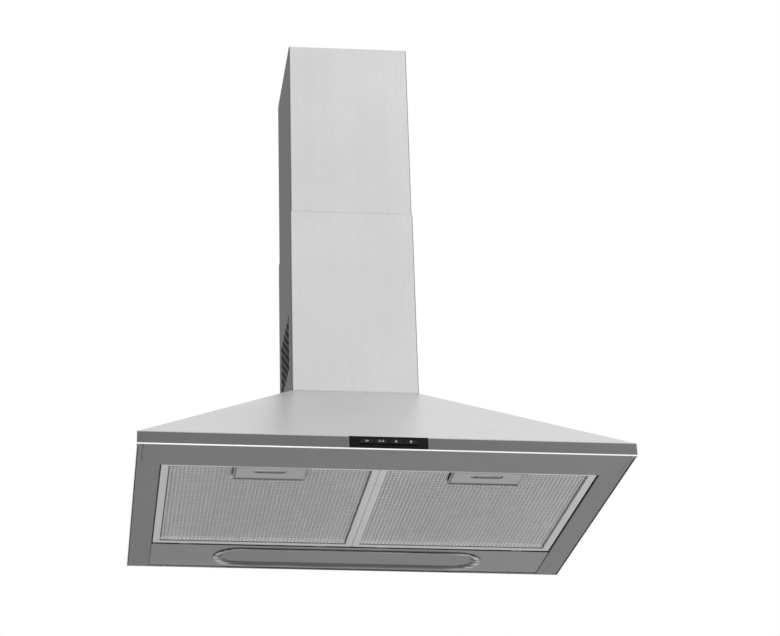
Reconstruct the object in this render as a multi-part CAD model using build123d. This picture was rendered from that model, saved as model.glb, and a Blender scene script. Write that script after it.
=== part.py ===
from build123d import *
import math
import os

# A wall-mounted chimney range hood with two grease filters. Millimetres.
# Origin: on the wall plane, at the middle of the hood's underside.
# +X is the hood's right seen from the front, +Y points into the wall, +Z is up.

# Canopy
hood_width = 600.0
hood_depth = 475.0
canopy_height = 193.0
band_height = 17.0
band_lean = 1.5         # how far the band leans back over its height
sheet = 0.8             # stainless steel sheet
lap_gap = 0.1           # between two sheets that lap
fold_radius = 2.0       # outside of a folded edge
seat_margin = 1.0       # flat canopy top left showing round the chimney

# Underside
front_flange_depth = 70.0
front_flange_inset = 7.4        # from the hood's sides
front_flange_corner = 13.0
front_return_height = 4.0
rail_width = 31.0
rail_inner_leg = 9.0
rail_outer_leg = 5.0
light_panel_depth = 94.0
light_panel_lap = 16.0          # over each side rail
light_panel_wall_gap = 3.0
light_panel_return = 15.0

# Chimney
chimney_width = 172.0
chimney_depth = 181.0
chimney_sheet = 0.7
chimney_return = 12.0
chimney_wall_gap = 0.8
lower_chimney_height = 270.0
upper_chimney_shown = 266.0
chimney_overlap = 60.0
telescope_gap = 0.3
vent_across = 9.8               # a hexagonal vent hole, across its flats
vent_pitch = 12.0
vent_columns = 11
vent_rows = 7
vent_base = 46.0                # of the vent field, above the chimney's foot
vent_middle = 86.0              # of the vent field, from the wall
clip_size = 18.0
clip_width = 26.0
clip_thickness = 1.2
clip_from_wall = 90.0
upper_bracket_height = 25.0
upper_bracket_drop = 12.0
upper_bracket_ear = 30.0
upper_bracket_thickness = 1.2
upper_bracket_hole_radius = 2.75
upper_bracket_hole_spacing = 110.0

# Grease filters
filter_thickness = 8.0
filter_side_gap = 1.25
filter_centre_gap = 0.5
filter_front_gap = 2.5
filter_rear_gap = 2.5
filter_rise = 0.3               # over the light panel
filter_lip = 9.0
filter_skin = 0.8
rib_pitch = 6.0
rib_thickness = 1.0
mesh_gap = 0.3
tab_width = 14.0
tab_length = 6.5
tab_inset = 42.0

# Filter latches
latch_width = 86.0
latch_depth = 35.0
latch_thickness = 1.2
latch_travel = 6.0
latch_gap = 0.4
latch_top_gap = 0.3
pull_width = 43.0
pull_depth = 14.0
pull_height = 6.2
pull_wall = 0.9
pull_setback = 5.0              # from the latch plate's front edge
tongue_width = 30.0
tongue_reach_gap = 0.6          # left before the front return
cradle_wall = 1.2

# Lamp
lens_length = 367.0
lens_width = 75.0
lens_rim = 4.0
lens_thickness = 1.5
lens_dish = 4.5
lens_slope = 7.0
lens_drop = 1.5
lens_offset = 3.0               # towards the wall from the panel's middle
lamp_pocket_length = 112.0
lamp_pocket_height = 46.0
lamp_tray_height = 14.5
lamp_tray_margin = 3.0
lamp_tray_flange = 3.5
lamp_tray_draft = 3.0
holder_radius = 14.0
holder_length = 27.0
holder_foot = 2.0
cap_radius = 6.8
cap_gap = 0.2
cap_length = 20.0
bulb_radius = 17.0
bulb_length = 78.0
bulb_shoulder = 28.0            # from the holder's mouth to the widest place
bulb_tip_radius = 3.0

# Control strip
panel_width = 95.0
panel_height = 15.3
panel_gap = 0.2
panel_front_wall = 2.5
panel_depth = 13.0
panel_wall = 1.4
button_count = 4
button_width = 16.3
button_height = 6.4
button_pitch = 17.7
button_depth = 6.0
button_gap = 0.35
button_rise = 0.7               # of the caps over the strip
button_top_margin = 3.1
button_slot = 1.6               # dark slot under the caps
button_travel = 2.5
button_stem = 5.0
stem_depth = 5.0
switch_width = 74.0
switch_depth = 15.0
switch_height = 11.0

# Blower
wheel_width = 100.0
wheel_ring = 2.0
wheel_disc = 2.5
blade_count = 36
blade_thickness = 1.0
blade_depth = 12.0              # from a blade's root to its tip, along the radius
blade_sweep = 13.0              # how far a blade's tip leads its root, degrees
blade_bow = 0.32                # share of that sweep at the blade's middle
hub_radius = 11.0
hub_length = 22.0
shaft_radius = 4.0
shaft_gap = 0.05
shaft_end = 6.0
cutoff_gap = 6.0
scroll_growth = 8.0             # more radius with each quarter turn
scroll_wall = 2.0
scroll_side_gap = 2.0
scroll_flange = 5.0
scroll_floor_gap = 3.0          # over the lamp tray
scroll_top_gap = 15.7           # from the scroll's seam to the canopy's top
outlet_length_y = 84.0
outlet_flange = 9.0
outlet_flange_thickness = 4.0
inlet_inset = 15.0              # of the inlets' edge inside the blades' tips
inlet_lip = 4.0
outlet_from_wall = 36.0
post_radius = 3.0
post_inset = 8.0                # from an inlet's lip to the posts' axes
motor_radius = 40.0
motor_length = 44.0
motor_bevel = 5.0
motor_boss_radius = 12.0
motor_boss_length = 4.0
bracket_thickness = 2.0
bracket_arm = 14.0
bracket_plate_radius = 28.0
grommet_radius = 6.5
grommet_groove = 1.6
grommet_lip = 2.0
arm_count = 3

# Outlet adapter and back-draught flaps
duct_radius = 60.0
duct_length = 60.0
duct_wall = 2.0
adapter_height = 20.0
adapter_flange = 2.0
flap_ledge = 3.0
flap_gap = 0.7
flap_thickness = 1.2
flap_barrel_radius = 2.0
flap_pin_radius = 1.5
flap_pin_gap = 0.06
flap_spacing = 7.0              # between the two hinge lines
flap_rest_gap = 0.4
duct_from_wall = 90.0

# Electrical parts
box_width = 80.0
box_depth = 40.0
box_height = 52.0
box_wall = 2.0
box_lid = 2.5
box_centre_x = -140.0
box_base = 52.0
capacitor_radius = 14.0
capacitor_length = 52.0
capacitor_x = 75.0
capacitor_z = 118.0
clamp_width = 12.0
clamp_thickness = 1.5
gland_radius = 8.0
gland_flange_radius = 11.0
gland_flange = 2.0
gland_bore_radius = 4.2
gland_drop = 9.0
gland_nut_height = 5.0
gland_x = -70.0
gland_from_wall = 156.0

# Wall fixings and screws
hanging_hole_radius = 4.0
hanging_hole_spacing = 220.0
hanging_hole_z = 130.0
safety_hole_radius = 3.0
safety_hole_spacing = 470.0
safety_hole_z = 40.0
screw_radius = 2.0
screw_head_radius = 4.0
screw_head = 2.2

# Places that follow from the sizes
front = -hood_depth
shell_front = front + sheet + lap_gap
seat_half = chimney_width / 2 + seat_margin
seat_front = -chimney_depth - seat_margin
rail_base = sheet + lap_gap
light_panel_base = rail_base + sheet + lap_gap
light_panel_top = light_panel_base + sheet
filter_base = light_panel_top + filter_rise
filter_top = filter_base + filter_thickness
filter_front = front + front_flange_depth + filter_front_gap
filter_rear = -light_panel_depth - filter_rear_gap
filter_outer = hood_width / 2 - rail_width - filter_side_gap
filter_inner = filter_centre_gap / 2
filter_width = filter_outer - filter_inner
filter_middle = (filter_outer + filter_inner) / 2
lamp_tray_base = light_panel_top
lamp_middle = -(light_panel_depth + light_panel_wall_gap) / 2 + lens_offset
scroll_base = lamp_tray_height + scroll_floor_gap
plate_under = canopy_height - sheet
seam_top = plate_under - scroll_top_gap
wheel_room = seam_top - scroll_flange - scroll_base - 2 * scroll_wall
wheel_radius = (wheel_room - 2 * cutoff_gap - scroll_growth) / 2
wheel_inner_radius = wheel_radius - blade_depth
inlet_radius = wheel_radius - inlet_inset
post_circle_radius = inlet_radius + inlet_lip + post_inset
wheel_y = -outlet_from_wall - (wheel_radius + cutoff_gap + 3 * scroll_growth)
wheel_z = scroll_base + scroll_wall + wheel_radius + cutoff_gap + scroll_growth
scroll_half = wheel_width / 2 + scroll_side_gap
collar_base = canopy_height + adapter_flange + adapter_height
collar_top = collar_base + duct_length
lower_chimney_top = canopy_height + lower_chimney_height
upper_chimney_top = lower_chimney_top + upper_chimney_shown
upper_chimney_base = lower_chimney_top - chimney_overlap


def block(x_span, y_span, z_span):
    spans = (x_span, y_span, z_span)
    size = [high - low for low, high in spans]
    corner = Pos(x_span[0], y_span[0], z_span[0])
    return corner * Box(*size, align=(Align.MIN, Align.MIN, Align.MIN))


# A round bar from one point to another.
def rod(radius, start, end):
    axis = Vector(*end) - Vector(*start)
    bar = Cylinder(radius, axis.length, align=(Align.CENTER, Align.CENTER, Align.MIN))
    return Plane(origin=start, z_dir=axis) * bar


def tube(outer, inner, start, end):
    return rod(outer, start, end) - rod(inner, start, end)


# The section of a folded sheet: its outer line, thickened to one side.
def folded(points, thickness, side, radius=fold_radius):
    path = FilletPolyline(*points, radius=radius)
    return make_face(offset(path, thickness, side=side).edges())


def hex_screw(seat, direction, length):
    start = Vector(*seat)
    step = Vector(*direction)
    shank = rod(screw_radius, tuple(start), tuple(start + step * length))
    head_plane = Plane(origin=start - step * screw_head, z_dir=step)
    head = head_plane * extrude(RegularPolygon(screw_head_radius, 6), screw_head)
    return shank + head


def mirrored(piece):
    return mirror(piece, about=Plane.YZ)


# The canopy's half width and front at one height.
def canopy_outline(z):
    if z <= band_height:
        lean = band_lean * z / band_height
        return hood_width / 2 - lean, shell_front + lean
    share = (z - band_height) / (canopy_height - band_height)
    base_half, base_front = canopy_outline(band_height)
    half = base_half + share * (seat_half - base_half)
    return half, base_front + share * (seat_front - base_front)


def canopy_section(z):
    half, section_front = canopy_outline(z)
    middle = (section_front - sheet) / 2
    return Pos(0, middle, z) * Rectangle(2 * half, -sheet - section_front)


# Four screws hold adapter, canopy top and blower together at these points.
def outlet_screw_points():
    x = scroll_half + scroll_wall + outlet_flange / 2
    near = -outlet_from_wall + scroll_wall + outlet_flange / 2
    far = -outlet_from_wall - outlet_length_y - scroll_wall - outlet_flange / 2
    return [(sign * x, y) for sign in (-1, 1) for y in (near, far)]


def clip_screw_points():
    x = chimney_width / 2 - chimney_sheet - clip_size / 2
    return [(sign * x, -clip_from_wall) for sign in (-1, 1)]


# Folded pyramid, open below and behind, with a flat seat for the chimney.
def canopy_shell():
    heights = (0, band_height, canopy_height)
    sections = [canopy_section(z) for z in heights]
    body = loft(sections[:2], ruled=True) + loft(sections[1:], ruled=True)
    open_faces = body.faces().filter_by(Axis.Y) + body.faces().sort_by(Axis.Z)[:1]
    shell = offset(body, -sheet, openings=open_faces, kind=Kind.INTERSECTION)
    shell -= block(
        (-scroll_half, scroll_half),
        (-outlet_from_wall - outlet_length_y, -outlet_from_wall),
        (plate_under - sheet, canopy_height + sheet),
    )
    for x, y in outlet_screw_points():
        shell -= rod(screw_radius, (x, y, plate_under - sheet), (x, y, canopy_height + sheet))
    for x, y in clip_screw_points():
        shell -= rod(screw_radius, (x, y, plate_under - sheet), (x, y, canopy_height + sheet))
    gland_base = (gland_x, -gland_from_wall, plate_under - sheet)
    gland_end = (gland_x, -gland_from_wall, canopy_height + sheet)
    shell -= rod(gland_radius, gland_base, gland_end)
    window_half = panel_width / 2 + panel_gap
    shell -= block(
        (-window_half, window_half),
        (shell_front - sheet, shell_front + band_lean + 2 * sheet),
        (sheet, band_height),
    )
    # room for the fascia's fold, which runs the whole width under the front
    return shell - block(
        (-hood_width / 2, hood_width / 2),
        (shell_front, front + 4 * fold_radius + lap_gap),
        (0, fold_radius + lap_gap),
    )


def back_panel():
    heights = (0, band_height, canopy_height)
    right = [(canopy_outline(z)[0], z) for z in heights]
    left = [(-half, z) for half, z in reversed(right)]
    panel = extrude(Plane.XZ * make_face(Polyline(*right, *left, close=True)), sheet)
    holes = (
        (hanging_hole_spacing, hanging_hole_z, hanging_hole_radius),
        (safety_hole_spacing, safety_hole_z, safety_hole_radius),
    )
    for spacing, z, radius in holes:
        for sign in (-1, 1):
            x = sign * spacing / 2
            panel -= rod(radius, (x, -2 * sheet, z), (x, sheet, z))
    return panel


# The band across the front, with the wide flange turned in under the hood.
def front_fascia():
    path = [(front + 4 * fold_radius, 0), (front, 0), (front + band_lean, band_height)]
    profile = Plane.YZ * folded(path, sheet, Side.RIGHT)
    fascia = extrude(profile, hood_width / 2, both=True)
    flange_half = hood_width / 2 - front_flange_inset
    flange_front = front + 2 * fold_radius
    flange_rear = front + front_flange_depth
    flange = Rectangle(2 * flange_half, flange_rear - flange_front)
    rear_corners = flange.vertices().group_by(Axis.Y)[-1]
    flange = fillet(rear_corners, front_flange_corner)
    fascia += Pos(0, (flange_front + flange_rear) / 2) * extrude(flange, sheet)
    return_half = hood_width / 2 - rail_width - lap_gap
    fascia += block(
        (-return_half, return_half),
        (flange_rear - sheet, flange_rear),
        (0, front_return_height),
    )
    window_half = panel_width / 2 + panel_gap
    fascia -= block(
        (-window_half, window_half),
        (front - sheet, front + band_lean + 2 * sheet),
        (band_height - panel_height - panel_gap, band_height + sheet),
    )
    return fascia


def right_side_rail():
    outer = hood_width / 2 - sheet - lap_gap - band_lean * rail_outer_leg / band_height
    inner = hood_width / 2 - rail_width
    path = [
        (outer, rail_outer_leg),
        (outer, rail_base),
        (inner, rail_base),
        (inner, rail_base + rail_inner_leg),
    ]
    profile = Plane.XZ * folded(path, sheet, Side.RIGHT, radius=sheet + lap_gap)
    rail_front = shell_front + band_lean + sheet + lap_gap
    rail = Pos(0, -sheet, 0) * extrude(profile, -sheet - rail_front)
    # the inner leg stops at the light panel, which lies on the rail
    return rail - block(
        (inner - sheet, inner + light_panel_lap + lap_gap),
        (-light_panel_depth - lap_gap, 0),
        (light_panel_base - lap_gap, rail_base + rail_inner_leg + sheet),
    )


def left_side_rail():
    return mirrored(right_side_rail())


def stadium(length, width):
    return SlotOverall(length, width)


def rear_light_panel():
    half = hood_width / 2 - rail_width + light_panel_lap
    panel = block(
        (-half, half),
        (-light_panel_depth, -light_panel_wall_gap),
        (light_panel_base, light_panel_top),
    )
    return_half = hood_width / 2 - rail_width - lap_gap
    panel += block(
        (-return_half, return_half),
        (-light_panel_wall_gap - sheet, -light_panel_wall_gap),
        (light_panel_base, light_panel_base + light_panel_return),
    )
    opening = stadium(lens_length - 2 * lens_rim, lens_width - 2 * lens_rim)
    cutter = extrude(Pos(0, lamp_middle, light_panel_base - sheet) * opening, 3 * sheet)
    return panel - cutter


# Frosted cover: a flat rim under the panel and a shallow dish inside it.
def lamp_lens():
    rim_base = light_panel_base - lens_drop
    plate = extrude(stadium(lens_length, lens_width), lens_drop)
    mouth = (lens_length - 2 * lens_rim - 2 * panel_gap, lens_width - 2 * lens_rim - 2 * panel_gap)
    crown = [size - 2 * lens_slope for size in mouth]
    dish = loft([stadium(*mouth), Pos(0, 0, lens_dish) * stadium(*crown)], ruled=True)
    inner_mouth = [size - 2 * lens_thickness for size in mouth]
    inner_crown = [size - 2 * lens_thickness for size in crown]
    hollow = loft(
        [stadium(*inner_mouth), Pos(0, 0, lens_dish - lens_thickness) * stadium(*inner_crown)],
        ruled=True,
    )
    lens = plate + dish - hollow
    return Pos(0, lamp_middle, rim_base) * lens


# The tray's solid outline: shallow in the middle, deep over each bulb.
def lamp_tray_form(inset, floor):
    length = lens_length - 2 * lens_rim + 2 * lamp_tray_margin - 2 * inset
    width = lens_width - 2 * lens_rim + 2 * lamp_tray_margin - 2 * inset
    low_top = lamp_tray_height - inset
    form = Pos(0, lamp_middle, floor) * extrude(Rectangle(length, width), low_top - floor)
    pocket_length = lamp_pocket_length - 2 * inset
    pocket_middle = length / 2 - pocket_length / 2
    pocket_height = lamp_pocket_height - inset - floor
    top_length = pocket_length - 2 * lamp_tray_draft
    top_width = width - 2 * lamp_tray_draft
    pocket = loft(
        [Rectangle(pocket_length, width), Pos(0, 0, pocket_height) * Rectangle(top_length, top_width)],
        ruled=True,
    )
    for sign in (-1, 1):
        form += Pos(sign * pocket_middle, lamp_middle, floor) * pocket
    return form


def lamp_housing():
    tray = lamp_tray_form(0, lamp_tray_base) - lamp_tray_form(sheet, lamp_tray_base - sheet)
    length = lens_length - 2 * lens_rim + 2 * lamp_tray_margin
    width = lens_width - 2 * lens_rim + 2 * lamp_tray_margin
    flange = Rectangle(length + 2 * lamp_tray_flange, width + 2 * lamp_tray_flange)
    flange -= Rectangle(length - 2 * sheet, width - 2 * sheet)
    return tray + Pos(0, lamp_middle, lamp_tray_base) * extrude(flange, sheet)


def lamp_axis_z():
    return (lamp_tray_base + lens_dish + lamp_pocket_height) / 2


# Inner face of the tray's end wall at the lamp's height.
def lamp_end_x():
    length = lens_length - 2 * lens_rim + 2 * lamp_tray_margin
    rise = (lamp_axis_z() - lamp_tray_base) / (lamp_pocket_height - lamp_tray_base)
    return length / 2 - sheet - lamp_tray_draft * rise - holder_foot


def right_lamp_holder():
    end_x = lamp_end_x()
    z = lamp_axis_z()
    inner_x = end_x - holder_length
    holder = rod(holder_radius, (inner_x, lamp_middle, z), (end_x, lamp_middle, z))
    holder = chamfer(holder.edges().group_by(Axis.X)[0], holder_foot)
    holder -= rod(cap_radius + cap_gap, (inner_x, lamp_middle, z), (end_x - holder_foot, lamp_middle, z))
    foot_half = holder_radius + holder_foot
    holder += block(
        (end_x - holder_foot, end_x),
        (lamp_middle - foot_half, lamp_middle + foot_half),
        (z - holder_radius, z + holder_radius),
    )
    return holder


# Candle bulb: screw cap, neck, glass body and tip, turned about the lamp axis.
def right_bulb():
    mouth = lamp_end_x() - holder_length
    cap_end = mouth + cap_length
    tip = mouth - bulb_length
    widest = mouth - bulb_shoulder
    outline = Line((cap_end, 0), (cap_end, cap_radius))
    outline += Line((cap_end, cap_radius), (mouth, cap_radius))
    outline += Spline(
        (mouth, cap_radius),
        (widest, bulb_radius),
        (tip + bulb_tip_radius, bulb_tip_radius * 2),
        (tip, 0),
        tangents=((-1, 0.3), (0, -1)),
    )
    outline += Line((tip, 0), (cap_end, 0))
    bulb = revolve(make_face(outline), Axis.X)
    return Pos(0, lamp_middle, lamp_axis_z()) * bulb


def panel_base():
    return band_height - panel_height


# Depth of the leaning band's face at a height.
def band_face(z):
    return front + band_lean * z / band_height


def button_span_z():
    top = band_height - button_top_margin
    return top - button_height, top


def button_x(index):
    return (index - (button_count - 1) / 2) * button_pitch


# Black strip let into the band, open behind, with a window for each button.
def control_panel():
    half = panel_width / 2
    low, high = panel_base(), band_height - panel_gap
    rear = front + panel_depth
    outline = Polyline(
        (band_face(low), low),
        (rear, low),
        (rear, high),
        (band_face(high), high),
        close=True,
    )
    panel = extrude(Plane.YZ * make_face(outline), half, both=True)
    panel -= block(
        (-half + panel_wall, half - panel_wall),
        (front + band_lean + panel_front_wall, rear + panel_wall),
        (low + panel_wall, high - panel_wall),
    )
    window_low, window_high = button_span_z()
    for index in range(button_count):
        x = button_x(index)
        window_half = button_width / 2 + button_gap
        panel -= block(
            (x - window_half, x + window_half),
            (front - panel_wall, rear),
            (window_low - button_slot, window_high + button_gap),
        )
    return panel


def button(index):
    x = button_x(index)
    low, high = button_span_z()
    face = band_face(low) - button_rise
    outline = Polyline(
        (face, low),
        (face + button_depth, low),
        (face + button_depth, high),
        (band_face(high) - button_gap, high),
        close=True,
    )
    cap = extrude(Plane.YZ * make_face(outline), button_width / 2, both=True)
    front_edges = cap.edges().filter_by(Axis.X).sort_by(Axis.Y)[:2]
    cap = fillet(front_edges, button_gap)
    stem_half = button_stem / 2
    middle = (low + high) / 2
    stem = block(
        (-stem_half, stem_half),
        (face + button_depth, face + button_depth + stem_depth),
        (middle - stem_half, middle + stem_half),
    )
    return Pos(x, 0, 0) * (cap + stem)


# Push-switch module behind the strip.
def switch_block():
    low, high = button_span_z()
    face = band_face(low) - button_rise
    block_front = face + button_depth + stem_depth + button_travel + button_gap
    middle = (panel_base() + band_height) / 2
    body = block(
        (-switch_width / 2, switch_width / 2),
        (block_front, block_front + switch_depth),
        (middle - switch_height / 2, middle + switch_height / 2),
    )
    for index in range(button_count + 1):
        x = button_x(index) - button_pitch / 2
        body -= block(
            (x - button_gap, x + button_gap),
            (block_front - button_gap, block_front + switch_depth / 3),
            (middle - switch_height / 2, middle + switch_height / 2),
        )
    foot_width = (panel_width - switch_width) / 2 - panel_wall
    for sign in (-1, 1):
        x = sign * (switch_width + foot_width) / 2
        body += block(
            (x - foot_width / 2, x + foot_width / 2),
            (block_front, block_front + switch_depth / 3),
            (middle - switch_height / 4, middle + switch_height / 4),
        )
    return body


# Aluminium frame of one grease filter, with the latch's cradle in its front edge.
def filter_frame(sign):
    x = sign * filter_middle
    half = filter_width / 2
    outer = block((-half, half), (filter_front, filter_rear), (filter_base, filter_top))
    outer = fillet(outer.edges().filter_by(Axis.Z), fold_radius)
    opening = block(
        (-half + filter_lip, half - filter_lip),
        (filter_front + filter_lip, filter_rear - filter_lip),
        (filter_base - sheet, filter_top + sheet),
    )
    channel = block(
        (-half + filter_skin, half - filter_skin),
        (filter_front + filter_skin, filter_rear - filter_skin),
        (filter_base + filter_skin, filter_top - filter_skin),
    )
    frame = outer - opening - channel
    for tab_x in (-half + tab_inset, half - tab_inset):
        frame += block(
            (tab_x - tab_width / 2, tab_x + tab_width / 2),
            (filter_rear - filter_lip, filter_rear + tab_length),
            (filter_base, filter_base + filter_skin),
        )
    frame += latch_cradle()
    slot_half = tongue_width / 2 + latch_gap
    frame -= block(
        (-slot_half, slot_half),
        (filter_front - filter_skin, filter_front + 2 * filter_skin),
        (tongue_base() - latch_top_gap, tongue_base() + latch_thickness + latch_top_gap),
    )
    return Pos(x, 0, 0) * frame


def latch_plate_front():
    return filter_front + filter_lip + latch_gap


def tongue_base():
    return filter_base + latch_thickness + latch_top_gap


# A plate over the latch with a window for its pull, and a wall down each side.
def latch_cradle():
    half = latch_width / 2 + latch_gap + cradle_wall
    cradle_front = filter_front + filter_lip
    cradle_rear = latch_plate_front() + latch_depth + latch_travel + latch_gap
    over = filter_base + latch_thickness + latch_top_gap
    cradle = block((-half, half), (cradle_front, cradle_rear), (over, over + filter_skin))
    wall_x = half - cradle_wall
    for span in ((-half, -wall_x), (wall_x, half)):
        cradle += block(span, (cradle_front, cradle_rear), (filter_base, over + filter_skin))
    cradle += block(
        (-half, half),
        (cradle_rear, cradle_rear + cradle_wall),
        (filter_base, over + filter_skin),
    )
    for span in ((-half, -half + filter_lip), (half - filter_lip, half)):
        cradle += block(span, (cradle_front - filter_lip / 2, cradle_front), (over, over + filter_skin))
        cradle += block(
            span,
            (cradle_front - filter_skin, cradle_front),
            (filter_base, over + filter_skin),
        )
    window_half = pull_width / 2 + latch_gap
    window_front = cradle_front - filter_skin
    window_rear = latch_plate_front() + pull_setback + pull_depth + latch_travel + latch_gap
    cradle -= block(
        (-window_half, window_half),
        (window_front, window_rear),
        (over - latch_gap, over + 2 * filter_skin),
    )
    return cradle


# Corrugated aluminium pack whose ribs run from front to rear.
def filter_mesh(sign):
    half = filter_width / 2 - filter_skin - mesh_gap
    low = filter_base + latch_thickness + latch_top_gap + filter_skin / 2
    high = filter_top - filter_skin - mesh_gap
    count = round(2 * half / rib_pitch)
    step = half / count
    under = [
        (-half + step * index, low if index % 2 else high - rib_thickness)
        for index in range(2 * count + 1)
    ]
    over = [(x, z + rib_thickness) for x, z in reversed(under)]
    section = Plane.XZ * make_face(Polyline(*under, *over, close=True))
    mesh_rear = filter_rear - filter_skin - mesh_gap
    mesh_front = filter_front + filter_skin + mesh_gap
    pack = Pos(0, mesh_rear, 0) * extrude(section, mesh_rear - mesh_front)
    well_half = latch_width / 2 + latch_gap + cradle_wall + mesh_gap
    well_rear = latch_plate_front() + latch_depth + latch_travel + latch_gap + cradle_wall + mesh_gap
    pack -= block(
        (-well_half, well_half),
        (mesh_front - mesh_gap, well_rear),
        (low - rib_thickness, high + rib_thickness),
    )
    return Pos(sign * filter_middle, 0, 0) * pack


# Sliding latch: a plate with a pressed finger pull, and a tongue at its front.
def filter_latch(sign):
    half = latch_width / 2
    plate_front = latch_plate_front()
    top = filter_base + latch_thickness
    plate = block((-half, half), (plate_front, plate_front + latch_depth), (filter_base, top))
    pull_middle = plate_front + pull_setback + pull_depth / 2
    pull = extrude(stadium(pull_width, pull_depth), pull_height)
    plate += Pos(0, pull_middle, filter_base) * pull
    inner = stadium(pull_width - 2 * pull_wall, pull_depth - 2 * pull_wall)
    hollow = extrude(inner, pull_height - pull_wall + sheet)
    plate -= Pos(0, pull_middle, filter_base - sheet) * hollow
    tongue_half = tongue_width / 2
    tongue_tip = front + front_flange_depth + tongue_reach_gap
    base = tongue_base()
    plate += block(
        (-tongue_half, tongue_half),
        (tongue_tip, plate_front + latch_thickness),
        (base, base + latch_thickness),
    )
    plate += block(
        (-tongue_half, tongue_half),
        (plate_front, plate_front + latch_thickness),
        (filter_base, base + latch_thickness),
    )
    return Pos(sign * filter_middle, 0, 0) * plate


# Centres and radii of the scroll's quarter turns, each tangent to the next.
def scroll_outline(grow, top):
    r1 = wheel_radius + cutoff_gap
    r2 = r1 + scroll_growth
    r3 = r2 + scroll_growth
    y1, z1 = wheel_y, wheel_z
    y2, z3 = y1 + scroll_growth, z1 + scroll_growth
    rear_y = y2 + r3
    front_y = rear_y - outlet_length_y
    tongue_y = front_y - grow
    r1, r2, r3 = r1 + grow, r2 + grow, r3 + grow
    start = (tongue_y, z1 + math.sqrt(r1**2 - (tongue_y - y1) ** 2))
    lines = CenterArc((y1, z1), r1, angle_of(start, (y1, z1)), 180 - angle_of(start, (y1, z1)))
    lines += CenterArc((y2, z1), r2, 180, 90)
    lines += CenterArc((y2, z3), r3, 270, 90)
    lines += Polyline((y2 + r3, z3), (y2 + r3, top), (tongue_y, top), start)
    return Plane.YZ * make_face(lines)


def angle_of(point, centre):
    return math.degrees(math.atan2(point[1] - centre[1], point[0] - centre[0]))


# One moulded half of the double-inlet scroll, open at its inlet and outlet.
def blower_half(sign):
    outer_half = scroll_half + scroll_wall
    case = extrude(scroll_outline(scroll_wall, plate_under), outer_half)
    seam = extrude(scroll_outline(scroll_wall + scroll_flange, plate_under), scroll_wall)
    seam -= block(
        (-scroll_wall, outer_half),
        (-hood_depth, 0),
        (plate_under - outlet_flange_thickness, canopy_height),
    )
    near = -outlet_from_wall + scroll_wall + outlet_flange
    far = -outlet_from_wall - outlet_length_y - scroll_wall - outlet_flange
    flange = block(
        (0, outer_half + outlet_flange),
        (far, near),
        (plate_under - outlet_flange_thickness, plate_under),
    )
    centre = (outer_half, wheel_y, wheel_z)
    lip_end = (outer_half + inlet_lip, wheel_y, wheel_z)
    case += seam + flange + rod(inlet_radius + inlet_lip, centre, lip_end)
    case -= extrude(scroll_outline(0, canopy_height), scroll_half)
    case -= rod(inlet_radius, (0, wheel_y, wheel_z), lip_end)
    mouth = case.edges().filter_by(GeomType.CIRCLE).sort_by(Axis.X)[-2:]
    mouth = mouth.filter_by(lambda edge: abs(edge.radius - inlet_radius) < sheet)
    case = fillet(mouth, inlet_lip - sheet)
    for x, y in outlet_screw_points():
        if x > 0:
            hole_base = plate_under - 2 * outlet_flange_thickness
            case -= rod(screw_radius, (x, y, hole_base), (x, y, canopy_height))
    if sign > 0:
        return case
    case = mirrored(case)
    for y, z in post_points():
        case += rod(post_radius, (-outer_half, y, z), (post_end(), y, z))
    return case


# Three posts round the left inlet carry the motor's bracket.
def post_points():
    points = [polar(post_circle_radius, 90 + index * 360 / arm_count) for index in range(arm_count)]
    return [(wheel_y + y, wheel_z + z) for y, z in points]


def bracket_x():
    return -(scroll_half + scroll_wall + inlet_lip + grommet_lip + lap_gap)


def post_end():
    return bracket_x() - bracket_thickness - grommet_lip - sheet


def motor_bracket():
    x = bracket_x()
    centre = (x - bracket_thickness, wheel_y, wheel_z)
    plate = rod(bracket_plate_radius, centre, (x, wheel_y, wheel_z))
    for index in range(arm_count):
        arm = Pos(post_circle_radius / 2, 0) * SlotCenterToCenter(post_circle_radius, bracket_arm)
        arm = Rot(0, 0, 90 + index * 360 / arm_count) * arm
        plate += Pos(*centre) * extrude(Plane.YZ * arm, bracket_thickness)
    for y, z in post_points():
        hole = grommet_radius - grommet_groove
        plate -= rod(hole, (x - 2 * bracket_thickness, y, z), (x + bracket_thickness, y, z))
    return plate


def motor_grommets():
    x = bracket_x()
    rings = []
    for y, z in post_points():
        start = (x - bracket_thickness - grommet_lip, y, z)
        end = (x + grommet_lip, y, z)
        ring = tube(grommet_radius, post_radius, start, end)
        groove = tube(
            grommet_radius + sheet,
            grommet_radius - grommet_groove,
            (x - bracket_thickness, y, z),
            (x, y, z),
        )
        rings.append(ring - groove)
    return Compound(children=rings)


# Closed motor inside the wheel, fixed to the bracket, with a bore for the shaft.
def motor_body():
    rear = bracket_x()
    face = rear + motor_length
    body = rod(motor_radius, (rear, wheel_y, wheel_z), (face, wheel_y, wheel_z))
    ends = body.edges().filter_by(GeomType.CIRCLE)
    body = chamfer(ends, motor_bevel)
    body += rod(
        motor_boss_radius, (face, wheel_y, wheel_z), (face + motor_boss_length, wheel_y, wheel_z)
    )
    bore_start = (rear + shaft_end, wheel_y, wheel_z)
    bore_end = (face + 2 * motor_boss_length, wheel_y, wheel_z)
    return body - rod(shaft_radius + shaft_gap, bore_start, bore_end)


def motor_shaft():
    start = (bracket_x() + 2 * shaft_end, wheel_y, wheel_z)
    return rod(shaft_radius, start, (hub_length / 2, wheel_y, wheel_z))


def polar(radius, degrees):
    turn = math.radians(degrees)
    return radius * math.cos(turn), radius * math.sin(turn)


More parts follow.
